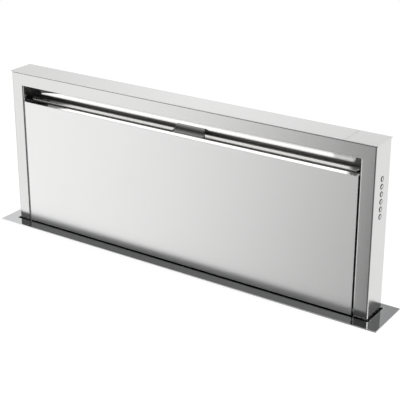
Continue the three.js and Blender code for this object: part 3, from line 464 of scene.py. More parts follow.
def wall(path, thickness):
    """A closed outline of a bent sheet: out along the path and back a thickness to its left."""
    step = np.diff(path, axis=0)
    step /= np.linalg.norm(step, axis=1)[:, None]
    ahead = np.vstack([step, step[-1:]])
    behind = np.vstack([step[:1], step])
    along = (ahead + behind) / 2
    along /= (along ** 2).sum(1)[:, None]
    left = np.column_stack([-along[:, 1], along[:, 0]])
    return np.vstack([path, (path + left * thickness)[::-1]])


def prism(outline, a, b, axis="z"):
    """A closed outline carried straight from a to b along an axis, with both ends closed."""
    return turned_way(stacked([(outline, a), (outline, b)], caps=True), axis)


def circle(steps):
    """Evenly spaced points of the unit circle."""
    turn = np.linspace(0, 2 * math.pi, steps, endpoint=False)
    return np.stack([np.cos(turn), np.sin(turn)], 1)


def holed_square(z, half, radius, x0, x1):
    """A square plate with a round hole, its rim drawn in polar steps from the circle to the square."""
    way = circle(32)
    square = way / np.abs(way).max(1)[:, None] * half
    rows = [(square, x0), (square, x1), (way * (radius + 0.25), x1), (way * radius, x1 - 0.25),
            (way * radius, x0)]
    return moved(turned_way(ring_of(rows), "x"), (0, 0, z))


def tower_front():
    """The bent outline below and above the window, the left column mirrored from the right one, and the
    right one open behind the keys, where small squares with a hole close it."""
    (x0, y0, foot), (x1, y1, _) = box_of("front_frame")
    low, high = WINDOW
    half = (KEY_HEIGHTS[0] - KEY_HEIGHTS[1]) / 2
    first, last = KEY_HEIGHTS[-1] - half, KEY_HEIGHTS[0] + half
    full = wall(rounded([(x0, y1), (x0, y0), (x1, y0), (x1, y1)], BEND), SHEET)
    start = [(x1 - COLUMN_WIDTH, y0 + COLUMN_DEPTH), (x1 - COLUMN_WIDTH, y0), (x1, y0)]
    column, open_column = (wall(rounded(start + [(x1, y)], BEND), SHEET) for y in (y1, -half))
    back_strip = [(x1, half), (x1, y1), (x1 - SHEET, y1), (x1 - SHEET, half)]
    parts = [prism(full, foot, low), prism(full, high, FRONT_TOP), prism(column[::-1] * [-1, 1], low, high),
             prism(column, low, first), prism(column, last, high), prism(open_column, first, last),
             prism(back_strip, first, last)]
    parts += [holed_square(z, half, KEY_HOLE, x1 - SHEET, x1) for z in KEY_HEIGHTS]
    stand_in("tower_front_sheet", parts, satin_steel, "front_frame")


tower_front()

# ---- cap and back sheet
# The cap is 1.5 mm satin sheet in two lengths, held a shadow line above the tower, with its seam near
# the key end; it is painted paler than the tower's sheet, which is painted light, and a black strip in the
# shadow line is painted shade. The back sheet is riveted in, and the black film inside it is painted shade,
# paler where the lamps light it.

SHADE_STRIP_INSET = 5
RIVET_INSET = 8.6
BACK_SHADE_SPAN = (26.0, 27.4)


def plate(x0, x1, y0, y1, z0, z1, corner=1.0, edge=0.4):
    """A block with round corners in plan and softened top and bottom edges: rings of one path set in
    by the edge at both faces."""
    rows = [(edge, z0), (edge * 0.3, z0 + edge * 0.3), (0, z0 + edge),
            (0, z1 - edge), (edge * 0.3, z1 - edge * 0.3), (edge, z1)]
    return stacked([(loop(x0 + s, x1 - s, y0 + s, y1 - s, max(corner - s, 0.05)), z) for s, z in rows],
                   caps=True)


def boxed(node, corner, edge):
    """A plate that fills a fixed node's box."""
    (x0, y0, z0), (x1, y1, z1) = box_of(node)
    return plate(x0, x1, y0, y1, z0, z1, corner, edge)


def rivets(places, radius=2.2, height=0.9, axis="z"):
    """Low domed heads: four rings of a shallow cap, at each place."""
    rows = [(1.0, -0.2), (1.0, 0.15), (0.82, 0.62), (0.45, 0.92)]
    head = stacked([(circle(12) * radius * r, height * h) for r, h in rows], caps=True)
    return copies(turned_way(head, axis), places)


def maths(add, operation, *values):
    return add("Math", dict(enumerate(values)), operation=operation).outputs[0]


def own_place(add):
    """A point's X, Y and Z on its own piece, in metres."""
    return add("SeparateXYZ", {"Vector": add("TexCoord").outputs["Object"]}).outputs


def covered(tree, share, cover):
    """Lays a second shader over the tree's own by a share."""
    layers = {0: share, 1: tree.nodes["Principled BSDF"].outputs[0], 2: cover.outputs[0]}
    both = nodes_of(tree)("MixShader", layers).outputs[0]
    tree.links.new(both, tree.nodes["Material Output"].inputs["Surface"])


def painted_shade_layer(material, axis, start, end, painted_greys):
    """The same finish with a matt layer between two places on an axis, in millimetres, which paints light
    and
    shade: its grey runs through the given (height in metres, grey) stops, dark as painted shade and paler
    where the lamps light it, as painted light."""
    tree = material.node_tree
    add = nodes_of(tree)
    part = own_place(add)
    inside = maths(add, "COMPARE", part[axis], (start + end) / 2 * MM, (end - start) / 2 * MM)
    grey = ramp(add, part["Z"], painted_greys)
    covered(tree, inside, add("BsdfPrincipled", {"Base Color": grey, "Roughness": 0.8}))


# Painted light: the cap is the tower's satin stainless with a paler colour, so that its top reads brighter.
cap_steel_painted_light = brushed("cap_steel_painted_light", (0.82, 0.82, 0.815), (0.90, 0.90, 0.895), (0.22, 0.30))
back_steel = brushed("back_steel", (0.66, 0.66, 0.655), (0.76, 0.76, 0.755), (0.28, 0.38))
# Painted shade on the back sheet's inner face: black low down, painted paler above where the lamps light it.
painted_shade_layer(back_steel, "Y", *BACK_SHADE_SPAN, [(0.262, 0.07), (0.2655, 0.22), (0.270, 0.70)])


def caps():
    """The two lengths of the cap, and a black strip in the shadow line under them, which is painted shade.
    """
    for name, node in (("top_cap_sheet", "top_cap"), ("control_cap_sheet", "control_end_cap")):
        stand_in(name, [boxed(node, 0.6, 0.35)], cap_steel_painted_light, node)
    (x0, y0, _), (x1, y1, _) = box_of("front_frame")
    low, high = FRONT_TOP + 0.05, box_of("top_cap")[0][2] - 0.05
    outer = loop(x0 + 0.5, x1 - 0.5, y0 + 0.4, y1 - 0.4, 2.5)
    inner = loop(x0 + SHADE_STRIP_INSET, x1 - SHADE_STRIP_INSET, y0 + SHADE_STRIP_INSET, y1 - SHADE_STRIP_INSET, 1.5)
    # The black strip is painted shade: it makes the shadow line under the cap dark.
    shade_strip = ring_of([(outer, low), (outer, high), (inner, high), (inner, low)])
    build("cap_shade_strip", [shade_strip], foam_black, "tower", "seal_foam")


def back_sheet():
    """The back sheet and its rivets: one column at each side and one row under the cap."""
    stand_in("back_sheet", [boxed("back_panel", 0.3, 0.2)], back_steel, "back_panel")
    right, back, _ = box_of("back_panel")[1]
    line = right - RIVET_INSET
    places = [(x, back, z) for x in (-line, line) for z in np.linspace(-70, 310, 9)]
    places += [(x, back, 318) for x in np.linspace(-300, 300, 7)]
    build("back_rivets", [rivets(places, axis="y")], back_steel, "tower", "satin_steel")


caps()
back_sheet()

# ---- access panel
# A pan of 1.2 mm satin sheet whose top edge is folded back into a deep bright lip; it is painted paler than
# the tower's sheet, which is painted light. It turns on two pins near its lower corners, and magnets hold
# its top.

LIP_BEND = 1.5
LIP_DEPTH = 12
LIP_FALL = 2.9
LIP_SLOPE = 6.2
LIP_CREASE = 0.7
RUBBED = 0.2690  # height in metres above which hands polish the lip


def rubbed_above(material, height, rough):
    """The same finish with its roughness cut to a share above a height in metres."""
    tree = material.node_tree
    add = nodes_of(tree)
    socket = tree.nodes["Principled BSDF"].inputs["Roughness"]
    share = mapped(add, own_place(add)["Z"], height - 0.0004, height + 0.0004, 1.0, rough)
    tree.links.new(maths(add, "MULTIPLY", socket.links[0].from_socket, share), socket)


# Painted light: the panel is satin stainless like the tower's sheet, with a paler colour so that it reads
# brighter.
panel_steel_painted_light = brushed("panel_steel_painted_light", (0.92, 0.92, 0.915), (0.98, 0.98, 0.975), (0.30, 0.38), Anisotropic=0.3)
rubbed_above(panel_steel_painted_light, RUBBED, 0.4)


def access_panel():
    """The section is one line: the lower flange, its bend, the front, the folded lip that slopes up to its
    flat back part, and the inner side back down. It runs the panel's width between two side walls."""
    (x0, y0, z0), (x1, y1, z1) = box_of("front_panel")
    bend = rounded([(y1, z0), (y0, z0), (y0, z0 + 30)], LIP_BEND)
    slope = [(y0, z1 - 10), (y0, z1 - LIP_FALL), (y0 + LIP_SLOPE, z1), (y1, z1), (y1, z1 - LIP_DEPTH)]
    sheet, fold = y0 + SHEET, z1 - LIP_DEPTH
    inside = [(sheet, fold), (sheet, z0 + SHEET), (y1, z0 + SHEET)]
    shell = prism(np.vstack([bend, rounded(slope, LIP_CREASE), inside]), x0, x1, "x")
    side = [(sheet - 0.2, z0 + 1), (y1, z0 + 1), (y1, fold + 1), (sheet - 0.2, fold + 1)]
    walls = [prism(side, x, x + SHEET, "x") for x in (x0, x1 - SHEET)]
    stand_in("access_panel_sheet", [shell] + walls, panel_steel_painted_light, "front_panel", angle=25)


access_panel()

# ---- lamps
# Two light strips in white channels under the band, with a black connector block at the left, whose black is
# also painted shade at the channel's end. The lenses are clear plastic with fine cross prisms, lit from
# inside, and hang less deep over the notch between them; towards their left end their top is painted shade.

PRISM = 5.5
PRISM_DEPTH = 0.35
NOTCH = 71
NOTCH_HANG = 0.8
SIDES = ("left", "right")
LENS_Y = np.array([-24.9, -24.9, -23.3, -21.7, -19.0, -17.0, -14.5, -12.9, -11.3, -11.3])
LENS_Z = np.array([309, 302, 296.4, 290.7, 290.5, 290.5, 290.7, 296.4, 302, 309])
GLOW_BY_HEIGHT = [(0.04, 0.25), (0.20, 0.50), (0.42, 1.0), (0.65, 0.72), (0.92, 0.42)]
GLOW_BY_LENGTH = [(0.08, 0.9), (0.12, 1.0), (0.908, 1.0), (0.912, 0.42)]
GLOW_BELOW = [(0.93, 1.1), (0.94, 0.0)]
# Spans in metres that the glow and the painted shade run over; the last two lie on slanted lines.
GLOW_HEIGHTS, GLOW_LENGTHS = (0.290, 0.303), (-0.4, 0.4)
LIT_FROM, SHADED_FROM = (-0.192, -0.182), (0.3430, 0.3438)
LIT_SLANT = -5.8
SHADED_SLANT = -0.148

channel_white = patterned("channel_white", (0.82, 0.82, 0.81), (0.90, 0.90, 0.89), 0.0, (0.35, 0.45),
                          (1, 1, 1), 0.4, (0.1, 0.05))
black_plastic = patterned("black_plastic", (0.018, 0.018, 0.02), (0.035, 0.035, 0.038), 0.0, (0.40, 0.55),
                          (1, 1, 1), 1.6, (0.25, 0.06))


def lens_glow():
    """Clear prismatic plastic lit from inside: brightest in the middle of its height, weak at its far right
    end, and near black above a line that falls to its left end, which is painted shade of the unlit inside
    seen through it. Its underside is lit too."""
    material = patterned("lens_glow", (0.60, 0.60, 0.59), (0.70, 0.70, 0.69), 0.0, (0.15, 0.25),
                         (1, 1, 1), 0.5, (0.1, 0.05))
    tree = material.node_tree
    add = nodes_of(tree)
    part = own_place(add)
    down = ramp(add, mapped(add, part["Z"], *GLOW_HEIGHTS), GLOW_BY_HEIGHT)
    along = mapped(add, part["X"], *GLOW_LENGTHS)
    front = maths(add, "MULTIPLY", down, ramp(add, along, GLOW_BY_LENGTH))
    facing = add("NewGeometry").outputs["True Normal"]
    up = add("SeparateXYZ", {"Vector": facing}).outputs["Z"]
    left = mapped(add, maths(add, "MULTIPLY_ADD", part["Y"], LIT_SLANT, part["X"]), *LIT_FROM, 0.06)
    under = maths(add, "MULTIPLY", left, ramp(add, along, GLOW_BELOW))
    strength = mixed(add, maths(add, "LESS_THAN", up, -0.7), front, under)
    shader = tree.nodes["Principled BSDF"]
    tree.links.new(strength, shader.inputs["Emission Strength"])
    shader.inputs["Emission Color"].default_value = (1.0, 0.99, 0.97, 1)
    # Painted shade: above this slanted line the lens is covered with near black, for the unlit inside seen
    # through it.
    slant = maths(add, "MULTIPLY_ADD", part["X"], SHADED_SLANT, part["Z"])
    dark = add("BsdfPrincipled", {"Base Color": (0.03, 0.03, 0.03, 1), "Roughness": 0.3})
    covered(tree, mapped(add, slant, *SHADED_FROM), dark)
    return material


lens_light = lens_glow()


def merged(node):
    """A fixed node's own shape in millimetres, its triangles joined into flat faces."""
    work = bmesh.new()
    work.from_mesh(frame["nodes"][node].data)
    bmesh.ops.remove_doubles(work, verts=work.verts, dist=1e-6)
    bmesh.ops.dissolve_limit(work, angle_limit=math.radians(0.5), verts=work.verts, edges=work.edges)
    mesh = bpy.data.meshes.new("merged")
    work.to_mesh(mesh)
    work.free()
    points = np.empty(len(mesh.vertices) * 3, np.float32)
    mesh.vertices.foreach_get("co", points)
    faces = [list(face.vertices) for face in mesh.polygons]
    bpy.data.meshes.remove(mesh)
    return points.reshape(-1, 3).astype(float) / MM, faces


def eased(node, finish, bevel=0.3, extra=()):
    """A fixed node's shape again with eased edges and smooth rounds, and the extra parts joined on."""
    stand_in(node + "_eased", [merged(node), *extra], finish, node, bevel=bevel)


def lens(x0, x1, band, notch):
    """A section carried along X: what is below the band hangs down in full, or by a share over the notch;
    each second row stands proud, which makes the prisms."""
    x = np.linspace(x0, x1, int((x1 - x0) / PRISM) * 2)[:, None]
    hang = np.where(np.abs(x - notch) < NOTCH / 2, NOTCH_HANG, 1.0)
    proud = np.where(np.arange(len(x))[:, None] % 2, PRISM_DEPTH, 0.0) * (hang == 1.0)
    low = np.clip(band - LENS_Z, 0, 12)
    y = LENS_Y - proud / 2 * (LENS_Y < -18) * (low > 0)
    z = np.where(low > 0, band - low * hang + proud, LENS_Z)
    return skin(np.stack(np.broadcast_arrays(x, y, z), -1), caps=True)


def lamps():
    joint = (box_of("lamp_lens_left")[1][0] + box_of("lamp_lens_right")[0][0]) / 2
    (x0, y0, z0), (_, y1, z1) = box_of("lamp_housing_left")
    for side in SIDES:
        node = f"lamp_lens_{side}"
        (start, _, _), (end, _, _) = box_of(node)
        eased(f"lamp_housing_{side}", channel_white)
        stand_in(node + "_prisms", [lens(start, end, z0, joint)], lens_light, node)
    # The connector block's black also stands for the shade at the channel's end, as painted shade.
    block = plate(x0 - 26, x0 - 0.1, y0 + 1, y1 - 1, z1 - 14, z1 - 0.2, 1.5, 0.5)
    build("lamp_connector_shade_block", [block], black_plastic, "tower", "black_plastic")


lamps()

# ---- grease filters, rail and centre post
# Each filter is a rim of aluminium with a polished chamfer round a pad of woven metal between two sheets
# of expanded metal. They stand on a rail against the post that covers the lift, whose grey near the slot is
# painted light and shade, and a black foam strip behind the lip of the access panel, between it and the
# filters, is painted shade.

CHAMFER = 4.4
RIM_WIDTH = 9
NET_PITCH = 6.5
POST_SHADE_SPAN = (270.0, 330.0)

rim_polish = patterned("rim_polish", (0.42, 0.42, 0.42), (0.72, 0.72, 0.71), 1.0, (0.12, 0.18),
                       (0.13, 0.05, 0.05), 1.0, (0.25, 0.3), pattern="X")
bright_aluminium = patterned("bright_aluminium", (0.74, 0.75, 0.76), (0.86, 0.87, 0.88), 1.0, (0.25, 0.38),
                             (0.05, 1, 1), 1.0, (0.05, 0.03), mottle=0.3)
woven_pad = patterned("woven_pad", (0.10, 0.10, 0.105), (0.60, 0.61, 0.62), 1.0, (0.3, 0.6),
                      (1, 1, 1), 0.9, (0.9, 0.6), pattern="cells")
zinc_sheet = patterned("zinc_sheet", (0.46, 0.48, 0.50), (0.66, 0.68, 0.70), 0.9, (0.30, 0.52),
                       (1, 1, 1), 0.09, (0.05, 0.03), pattern="cells", mottle=0.35)
post_steel = patterned("post_steel", (0.55, 0.55, 0.55), (0.66, 0.66, 0.655), 1.0, (0.32, 0.42),
                       (2, 2, 0.02), 1.0, (0.05, 0.02), mottle=0.3)
# Painted light and shade: the post's grey is pale above the panel's lip, near black higher up, paler near
# the lamps.
painted_shade_layer(post_steel, "Z", *POST_SHADE_SPAN, [(0.2715, 0.85), (0.2745, 0.60), (0.2768, 0.25), (0.2775, 0.01),
                                    (0.2795, 0.07), (0.2825, 0.25), (0.286, 0.55)])


def lattice(x0, x1, z0, z1, y, wide=1.3, thick=0.5):
    """Diamond net: two families of thin flat bars on the diagonals, each clipped to the rectangle."""
    bars = []
    for slope, front in ((1, y), (-1, y + thick)):
        start = np.arange(x0 - (z1 - z0) + NET_PITCH / 2, x1, NET_PITCH)
        a, b = np.clip(start, x0, x1), np.clip(start + (z1 - z0), x0, x1)
        za, zb = z0 + (a - start), z0 + (b - start)
        if slope < 0:
            za, zb = z0 + z1 - za, z0 + z1 - zb
        n = np.array([wide / 2, -slope * wide / 2]) * 0.707
        first, last = np.column_stack([a, za]), np.column_stack([b, zb])
        flat = np.stack([first - n, first + n, last + n, last - n], 1)
        bars.append(np.concatenate([np.insert(flat, 1, at, axis=2) for at in (front, front + thick)], 1))
    points = np.concatenate(bars)
    six = [[0, 1, 2, 3], [4, 5, 6, 7], [0, 1, 5, 4], [1, 2, 6, 5], [2, 3, 7, 6], [3, 0, 4, 7]]
    return points.reshape(-1, 3), [[v + 8 * k for v in face] for k in range(len(points)) for face in six]


def grease_filters():
    """A rim with a wide polished chamfer round its front edge, the pad and a net on both sides of it."""
    for side in SIDES:
        node = f"filter_{side}"
        (x0, y0, z0), (x1, y1, z1) = box_of(node)
        section = [(CHAMFER, y0), (CHAMFER - 0.6, y0 + 0.2), (0.2, y0 + CHAMFER - 0.6), (0, y0 + CHAMFER),
                   (0, y1 - 0.4), (0.4, y1), (RIM_WIDTH - 0.4, y1), (RIM_WIDTH, y1 - 0.4),
                   (RIM_WIDTH, y0 + 0.4), (RIM_WIDTH - 0.4, y0)]
        rim = ring_of([(loop(x0 + s, x1 - s, z0 + s, z1 - s, max(3 - s, 0.3)), y) for s, y in section])
        pad = plate(x0 + 8, x1 - 8, y0 + 3, y0 + 6.2, z0 + 8, z1 - 8, 0.5, 0.4)
        net = [lattice(x0 + 8.5, x1 - 8.5, z0 + 8.6, z1 - 8.5, y) for y in (y0 + 1, y1 - 2)]
        stand_in(node + "_rim", [turned_way(rim, "y")], rim_polish, node, angle=20)
        build(node + "_pad", [pad], woven_pad, "tower", "aluminium")
        build(node + "_net", net, bright_aluminium, "tower", "aluminium")


def lip_shade_strip():
    x0, y0, _ = box_of("filter_left")[0]
    x1 = box_of("filter_right")[1][0]
    _, back, top = box_of("front_panel")[1]
    # Painted shade: the black strip makes the gap between the panel's lip and the filters dark.
    strip = plate(x0, x1, back + 0.1, y0 - 0.1, top - LIP_DEPTH, top - 0.4, 0.5, 0.3)
    build("lip_shade_strip", [strip], foam_black, "tower", "seal_foam")


def centre_post():
    """The post with four rivets along its front edges."""
    (x0, front, _), (x1, _, _) = box_of("centre_post")
    heads = [(x, front, z) for x in (x0 + 7, x1 - 7) for z in (60, 262)]
    eased("centre_post", post_steel, extra=[rivets(heads, 2.6, -1.2, "y")])


grease_filters()
lip_shade_strip()
eased("filter_rail", zinc_sheet)
centre_post()

# ---- keys and their switch board
# Six round steel keys with black rims on the right wall, each with a shallow dish; the black rims and the
# black bushes in the holes are painted shade. Behind them a circuit board carries one switch for each key
# on four standoffs.

# Sections of a key's parts as (radius, x).
KEY_DISC = [(2.5, 404), (2.5, 407.4), (5.8, 407.4), (5.8, 408.6), (3.7, 408.6), (3.7, 410.3), (3.5, 410.45),
            (3.1, 410.45), (2.8, 410.3), (1.8, 410.2), (0.3, 410.16)]
KEY_SHADE_RIM = [(3.7, 408.6), (4.75, 408.6), (4.75, 410.5), (4.5, 410.8), (4.0, 410.8), (3.7, 410.5)]
KEY_SHADE_BUSH = [(4.85, 408.9), (5.15, 408.9), (5.15, 409.95), (4.85, 409.95)]

key_steel = patterned("key_steel", (0.60, 0.60, 0.60), (0.78, 0.78, 0.78), 1.0, (0.16, 0.26),
                      (1, 1, 1), 0.8, (0.04, 0.02))
board_green = patterned("board_green", (0.012, 0.09, 0.035), (0.03, 0.17, 0.07), 0.0, (0.25, 0.4),
                        (0.6, 0.6, 0.6), 0.6, (0.3, 0.08), pattern="cells")


def turned(rows, axis="z", place=(0, 0, 0), steps=32, closed=False):
    """A turned piece: circles of each (radius, height) about an axis through the place, closed on
    itself or with a flat face at both ends."""
    part = stacked([(circle(steps) * r, h) for r, h in rows], close_rows=closed, caps=not closed)
    return moved(turned_way(part, axis), place)


def keys():
    """Each key is a steel disc with a shallow dish in a black rim; a black bush lines its hole. Both blacks
    are painted shade round the key.
    """
    shade_bushes = []
    for number, z in enumerate(KEY_HEIGHTS, 1):
        place, body = (0, 0, z), f"button_{number}"
        # Painted shade: the black rim and the black bush make the dark marks round the key.
        rim = turned(KEY_SHADE_RIM, "x", place, closed=True)
        stand_in(f"key_{number}", [turned(KEY_DISC, "x", place)], key_steel, body)
        build(f"key_{number}_rim", [rim], black_plastic, body, "black_plastic")
        shade_bushes.append(turned(KEY_SHADE_BUSH, "x", place, closed=True))
    build("key_shade_bushes", shade_bushes, black_plastic, "tower", "black_plastic")


keys()
eased("control_board", board_green, 0.15)

# ---- panel pins and catches, top plate
# The pins are turned steel, the catches black housings with a steel face over the magnet.

turned_steel = patterned("turned_steel", (0.50, 0.51, 0.52), (0.66, 0.67, 0.68), 1.0, (0.18, 0.32),
                         (0.3, 0.3, 3.0), 1.0, (0.06, 0.02), mottle=0.3)


def pins_and_catches():
    for side in SIDES:
        node = f"panel_catch_{side}"
        (x0, front, z0), (x1, _, z1) = box_of(node)
        face = plate(x0 + 1.2, x1 - 1.2, front - 0.2, front + 0.1, z0 + 3, z1 - 3, 0.1, 0.1)
        eased(f"panel_pin_{side}", turned_steel, 0.2)
        eased(node, black_plastic, 0.4)
        build(f"catch_{side}_face", [face], turned_steel, "tower", "machined_steel")


pins_and_catches()
eased("top_plate", turned_steel, 0.2)

# ---- electric lift
# A screw turned by a geared motor drives a nut in the foot of the rod. The rod slides in a bush in the
# anodised tube and carries the tower on a bracket and a clipped pin. The screw has a rolled round thread.

THREAD_PITCH = 4
THREAD_STARTS = 5
THREAD_DEPTH = 0.9
FOOT_SHEET = 3
FOOT_RIVETS = 34
RIBS = range(-561, -536, 6)
# The motor can's section as (radius, distance from the gearbox's end).
LIFT_CAN = [(14, 0), (18, 0.2), (18, 4.8), (17, 5.4), (17, 9.8), (18, 10.4), (18, 87.8), (17.2, 88.8),
            (17.2, 91.8), (18, 92.8), (18, 103.8), (15, 108.4), (8, 110), (7.4, 110), (7, 109.2)]

brass = patterned("brass", (0.55, 0.40, 0.16), (0.74, 0.58, 0.28), 1.0, (0.22, 0.36),
                  (0.3, 0.3, 3), 1.0, (0.06, 0.02))
white_acetal = patterned("white_acetal", (0.76, 0.76, 0.73), (0.86, 0.86, 0.84), 0.0, (0.35, 0.5),
                         (1, 1, 1), 0.5, (0.12, 0.05))
grey_enamel = patterned("grey_enamel", (0.20, 0.21, 0.22), (0.26, 0.27, 0.28), 0.0, (0.32, 0.45),
                        (1, 1, 1), 0.7, (0.25, 0.08), Coat_Weight=0.2)


def thread(radius, z0, z1):
    """A screw of several starts: the radius falls by the depth in a rounded wave whose phase follows the
    height and, once for each start, the angle, so that one turn carries the nut five pitches."""
    turn = np.linspace(0, 2 * math.pi, 40, endpoint=False)
    z = np.arange(z0, z1, THREAD_PITCH / 8)[:, None]
    r = radius - THREAD_DEPTH * (0.5 - 0.5 * np.cos(2 * math.pi * z / THREAD_PITCH - THREAD_STARTS * turn))
    return skin(np.stack(np.broadcast_arrays(r * np.cos(turn), r * np.sin(turn), z), -1), caps=True)


def drive():
    floor = box_of("actuator_foot")[0][2] + FOOT_SHEET
    feet = rivets([(-FOOT_RIVETS, 10, floor), (FOOT_RIVETS, 10, floor)], 4, 2.4)
    eased("actuator_foot", zinc_sheet, extra=[feet])
    (x0, y0, _), (x1, y1, top) = box_of("actuator_gearbox")
    bolts = rivets([(x, y, top) for x in (x0 + 5, x1 - 5) for y in (y0 + 4, y1 - 4)], 3, 1.6)
    ribs = [plate(x0 - 0.6, x1 + 0.6, y0 - 0.6, y1 + 0.6, z, z + 2, 1.5, 0.4) for z in RIBS]
    eased("actuator_gearbox", grey_enamel, 0.8, extra=[bolts, *ribs])
    _, y, z = centre_of("lift_motor")
    can = turned(LIFT_CAN, "x", (box_of("lift_motor")[0][0], y, z), 40)
    stand_in("lift_motor_can", [can], black_plastic, "lift_motor")
    eased("actuator_tube", bright_aluminium)
    eased("rod_bush", white_acetal)
    (x0, _, z0), (x1, _, z1) = box_of("lift_screw")
    screw = moved(thread((x1 - x0) / 2, z0, z1), (*centre_of("lift_screw")[:2], 0))
    stand_in("lift_screw_thread", [screw], turned_steel, "lift_screw")


def rod():
    eased("actuator_rod", turned_steel, 0.4)
    eased("drive_nut", brass)
    eased("lift_bracket", zinc_sheet)
    (x0, _, _), (x1, _, _) = box_of("rod_pin")
    _, y, z = centre_of("rod_pin")
    clip = turned([(4.1, 0), (5.4, 0), (5.4, 0.7), (4.1, 0.7)], "x", (0, y, z), 20, True)
    clips = copies(clip, [(x0 + 0.8, 0, 0), (x1 - 1.5, 0, 0)])
    eased("rod_pin", turned_steel, 0.4, extra=[clips])


drive()
rod()

# ---- guides and limit switches
# Acetal shoes on the tower's lower ends run on steel rails. Two small switches with roller levers end
# the travel.

for side in SIDES:
    eased(f"guide_rail_{side}", turned_steel, 0.4)
    eased(f"guide_shoe_{side}", white_acetal, 0.5)


LEVER = [(0, -8), (0, 11), (1.7, 14)]  # (away from the case, height)
LEVER_SPAN = (2.2, 6.7)
ROLLER = [(2.2, 2.6), (2.4, 2.9), (2.4, 6.1), (2.2, 6.4)]  # (radius, distance along X)


def limit_switches():
    """Each case gets a bent lever past its end, with a roller that just meets the shoe's side."""
    for place in ("upper", "lower"):
        node = f"limit_switch_{place}"
        (x, y, _), _ = box_of(node)
        at = (x, y - 0.1, centre_of(node)[2])
        lever = moved(prism(wall(rounded(LEVER, 1.5), 0.5), *LEVER_SPAN, "x"), at)
        roller = moved(turned(ROLLER, "x", (0, 1.6, 15), 16), at)
        eased(node, black_plastic, 0.4)
        build(f"limit_lever_{place}", [lever, roller], turned_steel, "housing", "machined_steel")


limit_switches()

# ---- housing and support legs
# Five sheets of 1.2 mm galvanised steel with a zinc spangle, stiffened by pressed beads and riveted at
# the corners. The legs are folded plates that stand on the cabinet floor, fixed by bolts in slots.

BEAD_HALF = 7
BEAD_HEIGHT = 1.6
HOUSING_FRONT = box_of("housing_front")[0][1]
HOUSING_BACK = box_of("housing_back")[1][1]
# Beads as (start, end, height): those of the front keep clear of the blower and the electronics.
FRONT_BEADS = [(-380, 170, -90), (-380, 170, -150), (-380, -230, -250), (110, 380, -420), (110, 380, -500),
               (110, 380, -580)]
BACK_BEADS = [(-380, 380, z) for z in (-90, -200, -310, -420, -530)]
EDGE_RIVETS = [(x, z) for x in (-419, 419) for z in np.linspace(-600, -30, 12)]
LOW_RIVETS = [(x, -612) for x in np.linspace(-360, 360, 9)]
LEG_BOLTS = [(y, z) for y in (-14, 14) for z in (-545, -580)]


def beads(rows, y, sign):
    """Pressed stiffening beads: low domes whose width and height both fall to their ends as the root of
    1 - s squared, where s runs from 0 to 1 over the last stretch."""
    t = np.linspace(0, 1, 25)[:, None]
    arc = np.linspace(0, math.pi, 9)
    parts = []
    for x0, x1, z in rows:
        x = x0 + (x1 - x0) * t
        s = np.clip(np.abs(x - (x0 + x1) / 2) - (x1 - x0) / 2 + BEAD_HALF, 0, BEAD_HALF) / BEAD_HALF
        end = np.sqrt(np.clip(1 - s ** 2, 0.001, 1))
        dome = (x, y + sign * (BEAD_HEIGHT * end * np.sin(arc) - 0.2), z + BEAD_HALF * end * np.cos(arc))
        parts.append(skin(np.stack(np.broadcast_arrays(*dome), -1), caps=True))
    return parts


def flipped(part, sign):
    """The part mirrored in X where the sign is -1."""
    return part[0] * [sign, 1, 1], part[1]


def housing():
    for side in ("front", "back", "left", "right", "bottom"):
        eased(f"housing_{side}", zinc_sheet, 0.25)
    heads = [rivets([(x, HOUSING_FRONT, z) for x, z in EDGE_RIVETS], 2.4, -1.1, "y"),
             rivets([(x, HOUSING_BACK, z) for x, z in EDGE_RIVETS + LOW_RIVETS], 2.4, 1.1, "y")]
    build("housing_rivets", heads, zinc_sheet, "housing", "galvanised_steel")
    pressed = beads(BACK_BEADS, HOUSING_BACK, 1) + beads(FRONT_BEADS, HOUSING_FRONT, -1)
    build("housing_beads", pressed, zinc_sheet, "housing", "galvanised_steel")


def legs():
    """Each leg gets four hexagon bolts with washers on its outer side."""
    bolt = turned([(4.2, -0.2), (4.2, 2.4), (3.6, 3.0)], "x", steps=6)
    washer = turned([(6.2, -0.1), (6.2, 0.9)], "x", steps=24)
    outer = box_of("support_leg_right")[1][0]
    for side, sign in (("left", -1), ("right", 1)):
        places = [(sign * outer, y, z) for y, z in LEG_BOLTS]
        fixings = [copies(flipped(part, sign), places) for part in (bolt, washer)]
        eased(f"support_leg_{side}", turned_steel, 0.6)
        build(f"leg_bolts_{side}", fixings, turned_steel, "housing", "machined_steel")


housing()
legs()

# ---- blower
# A galvanised scroll with folded seams round both edges, screwed to the housing. Inside, a black wheel
# with forward-curved blades sits on the shaft of a ribbed motor, and a round collar with a bead takes
# the duct, with a gravity flap in it.

SCROLL_SHEET = 1.5
SCROLL_TONGUE = 100
SCROLL_END = math.radians(185)
AXIS = (centre_of("blower_wheel")[0], HOUSING_FRONT, centre_of("blower_wheel")[2])
OUTLET, SCROLL_BACK, SCROLL_LOW = np.array(box_of("volute_casing")[0]) - AXIS
SCROLL_FOOT = -SCROLL_LOW - SCROLL_SHEET
BLADES = 40
BLADE_RING = 82
BLADE_SPAN = (-119.5, -22.5)
# Sections as (radius, distance along the axis) about the fan's axis and, for the collar, its own.
WHEEL_DISC = [(5, -120), (90, -120), (90, -118), (60, -118), (50, -112), (20, -108), (16, -107), (5, -107)]
WHEEL_HUB = [(5, -133), (15, -133), (16, -132), (16, -120), (5, -120)]
WHEEL_RING = [(76, -24), (90, -24), (90, -22), (78, -22), (76, -23)]
MOTOR_NECK = [(5.5, -196), (5.5, -156.2), (44, -156.2), (48, -158)]
MOTOR_END = [(48, -196), (46.5, -200), (40, -204), (22, -205.5), (20, -208.2), (4, -208.2)]
COLLAR = [(73.8, -90), (75, -90), (75, -80), (75.5, -79), (76.6, -77.5), (76.6, -76), (75.5, -74.5),
          (75, -73.5), (75, 0), (73.8, 0)]


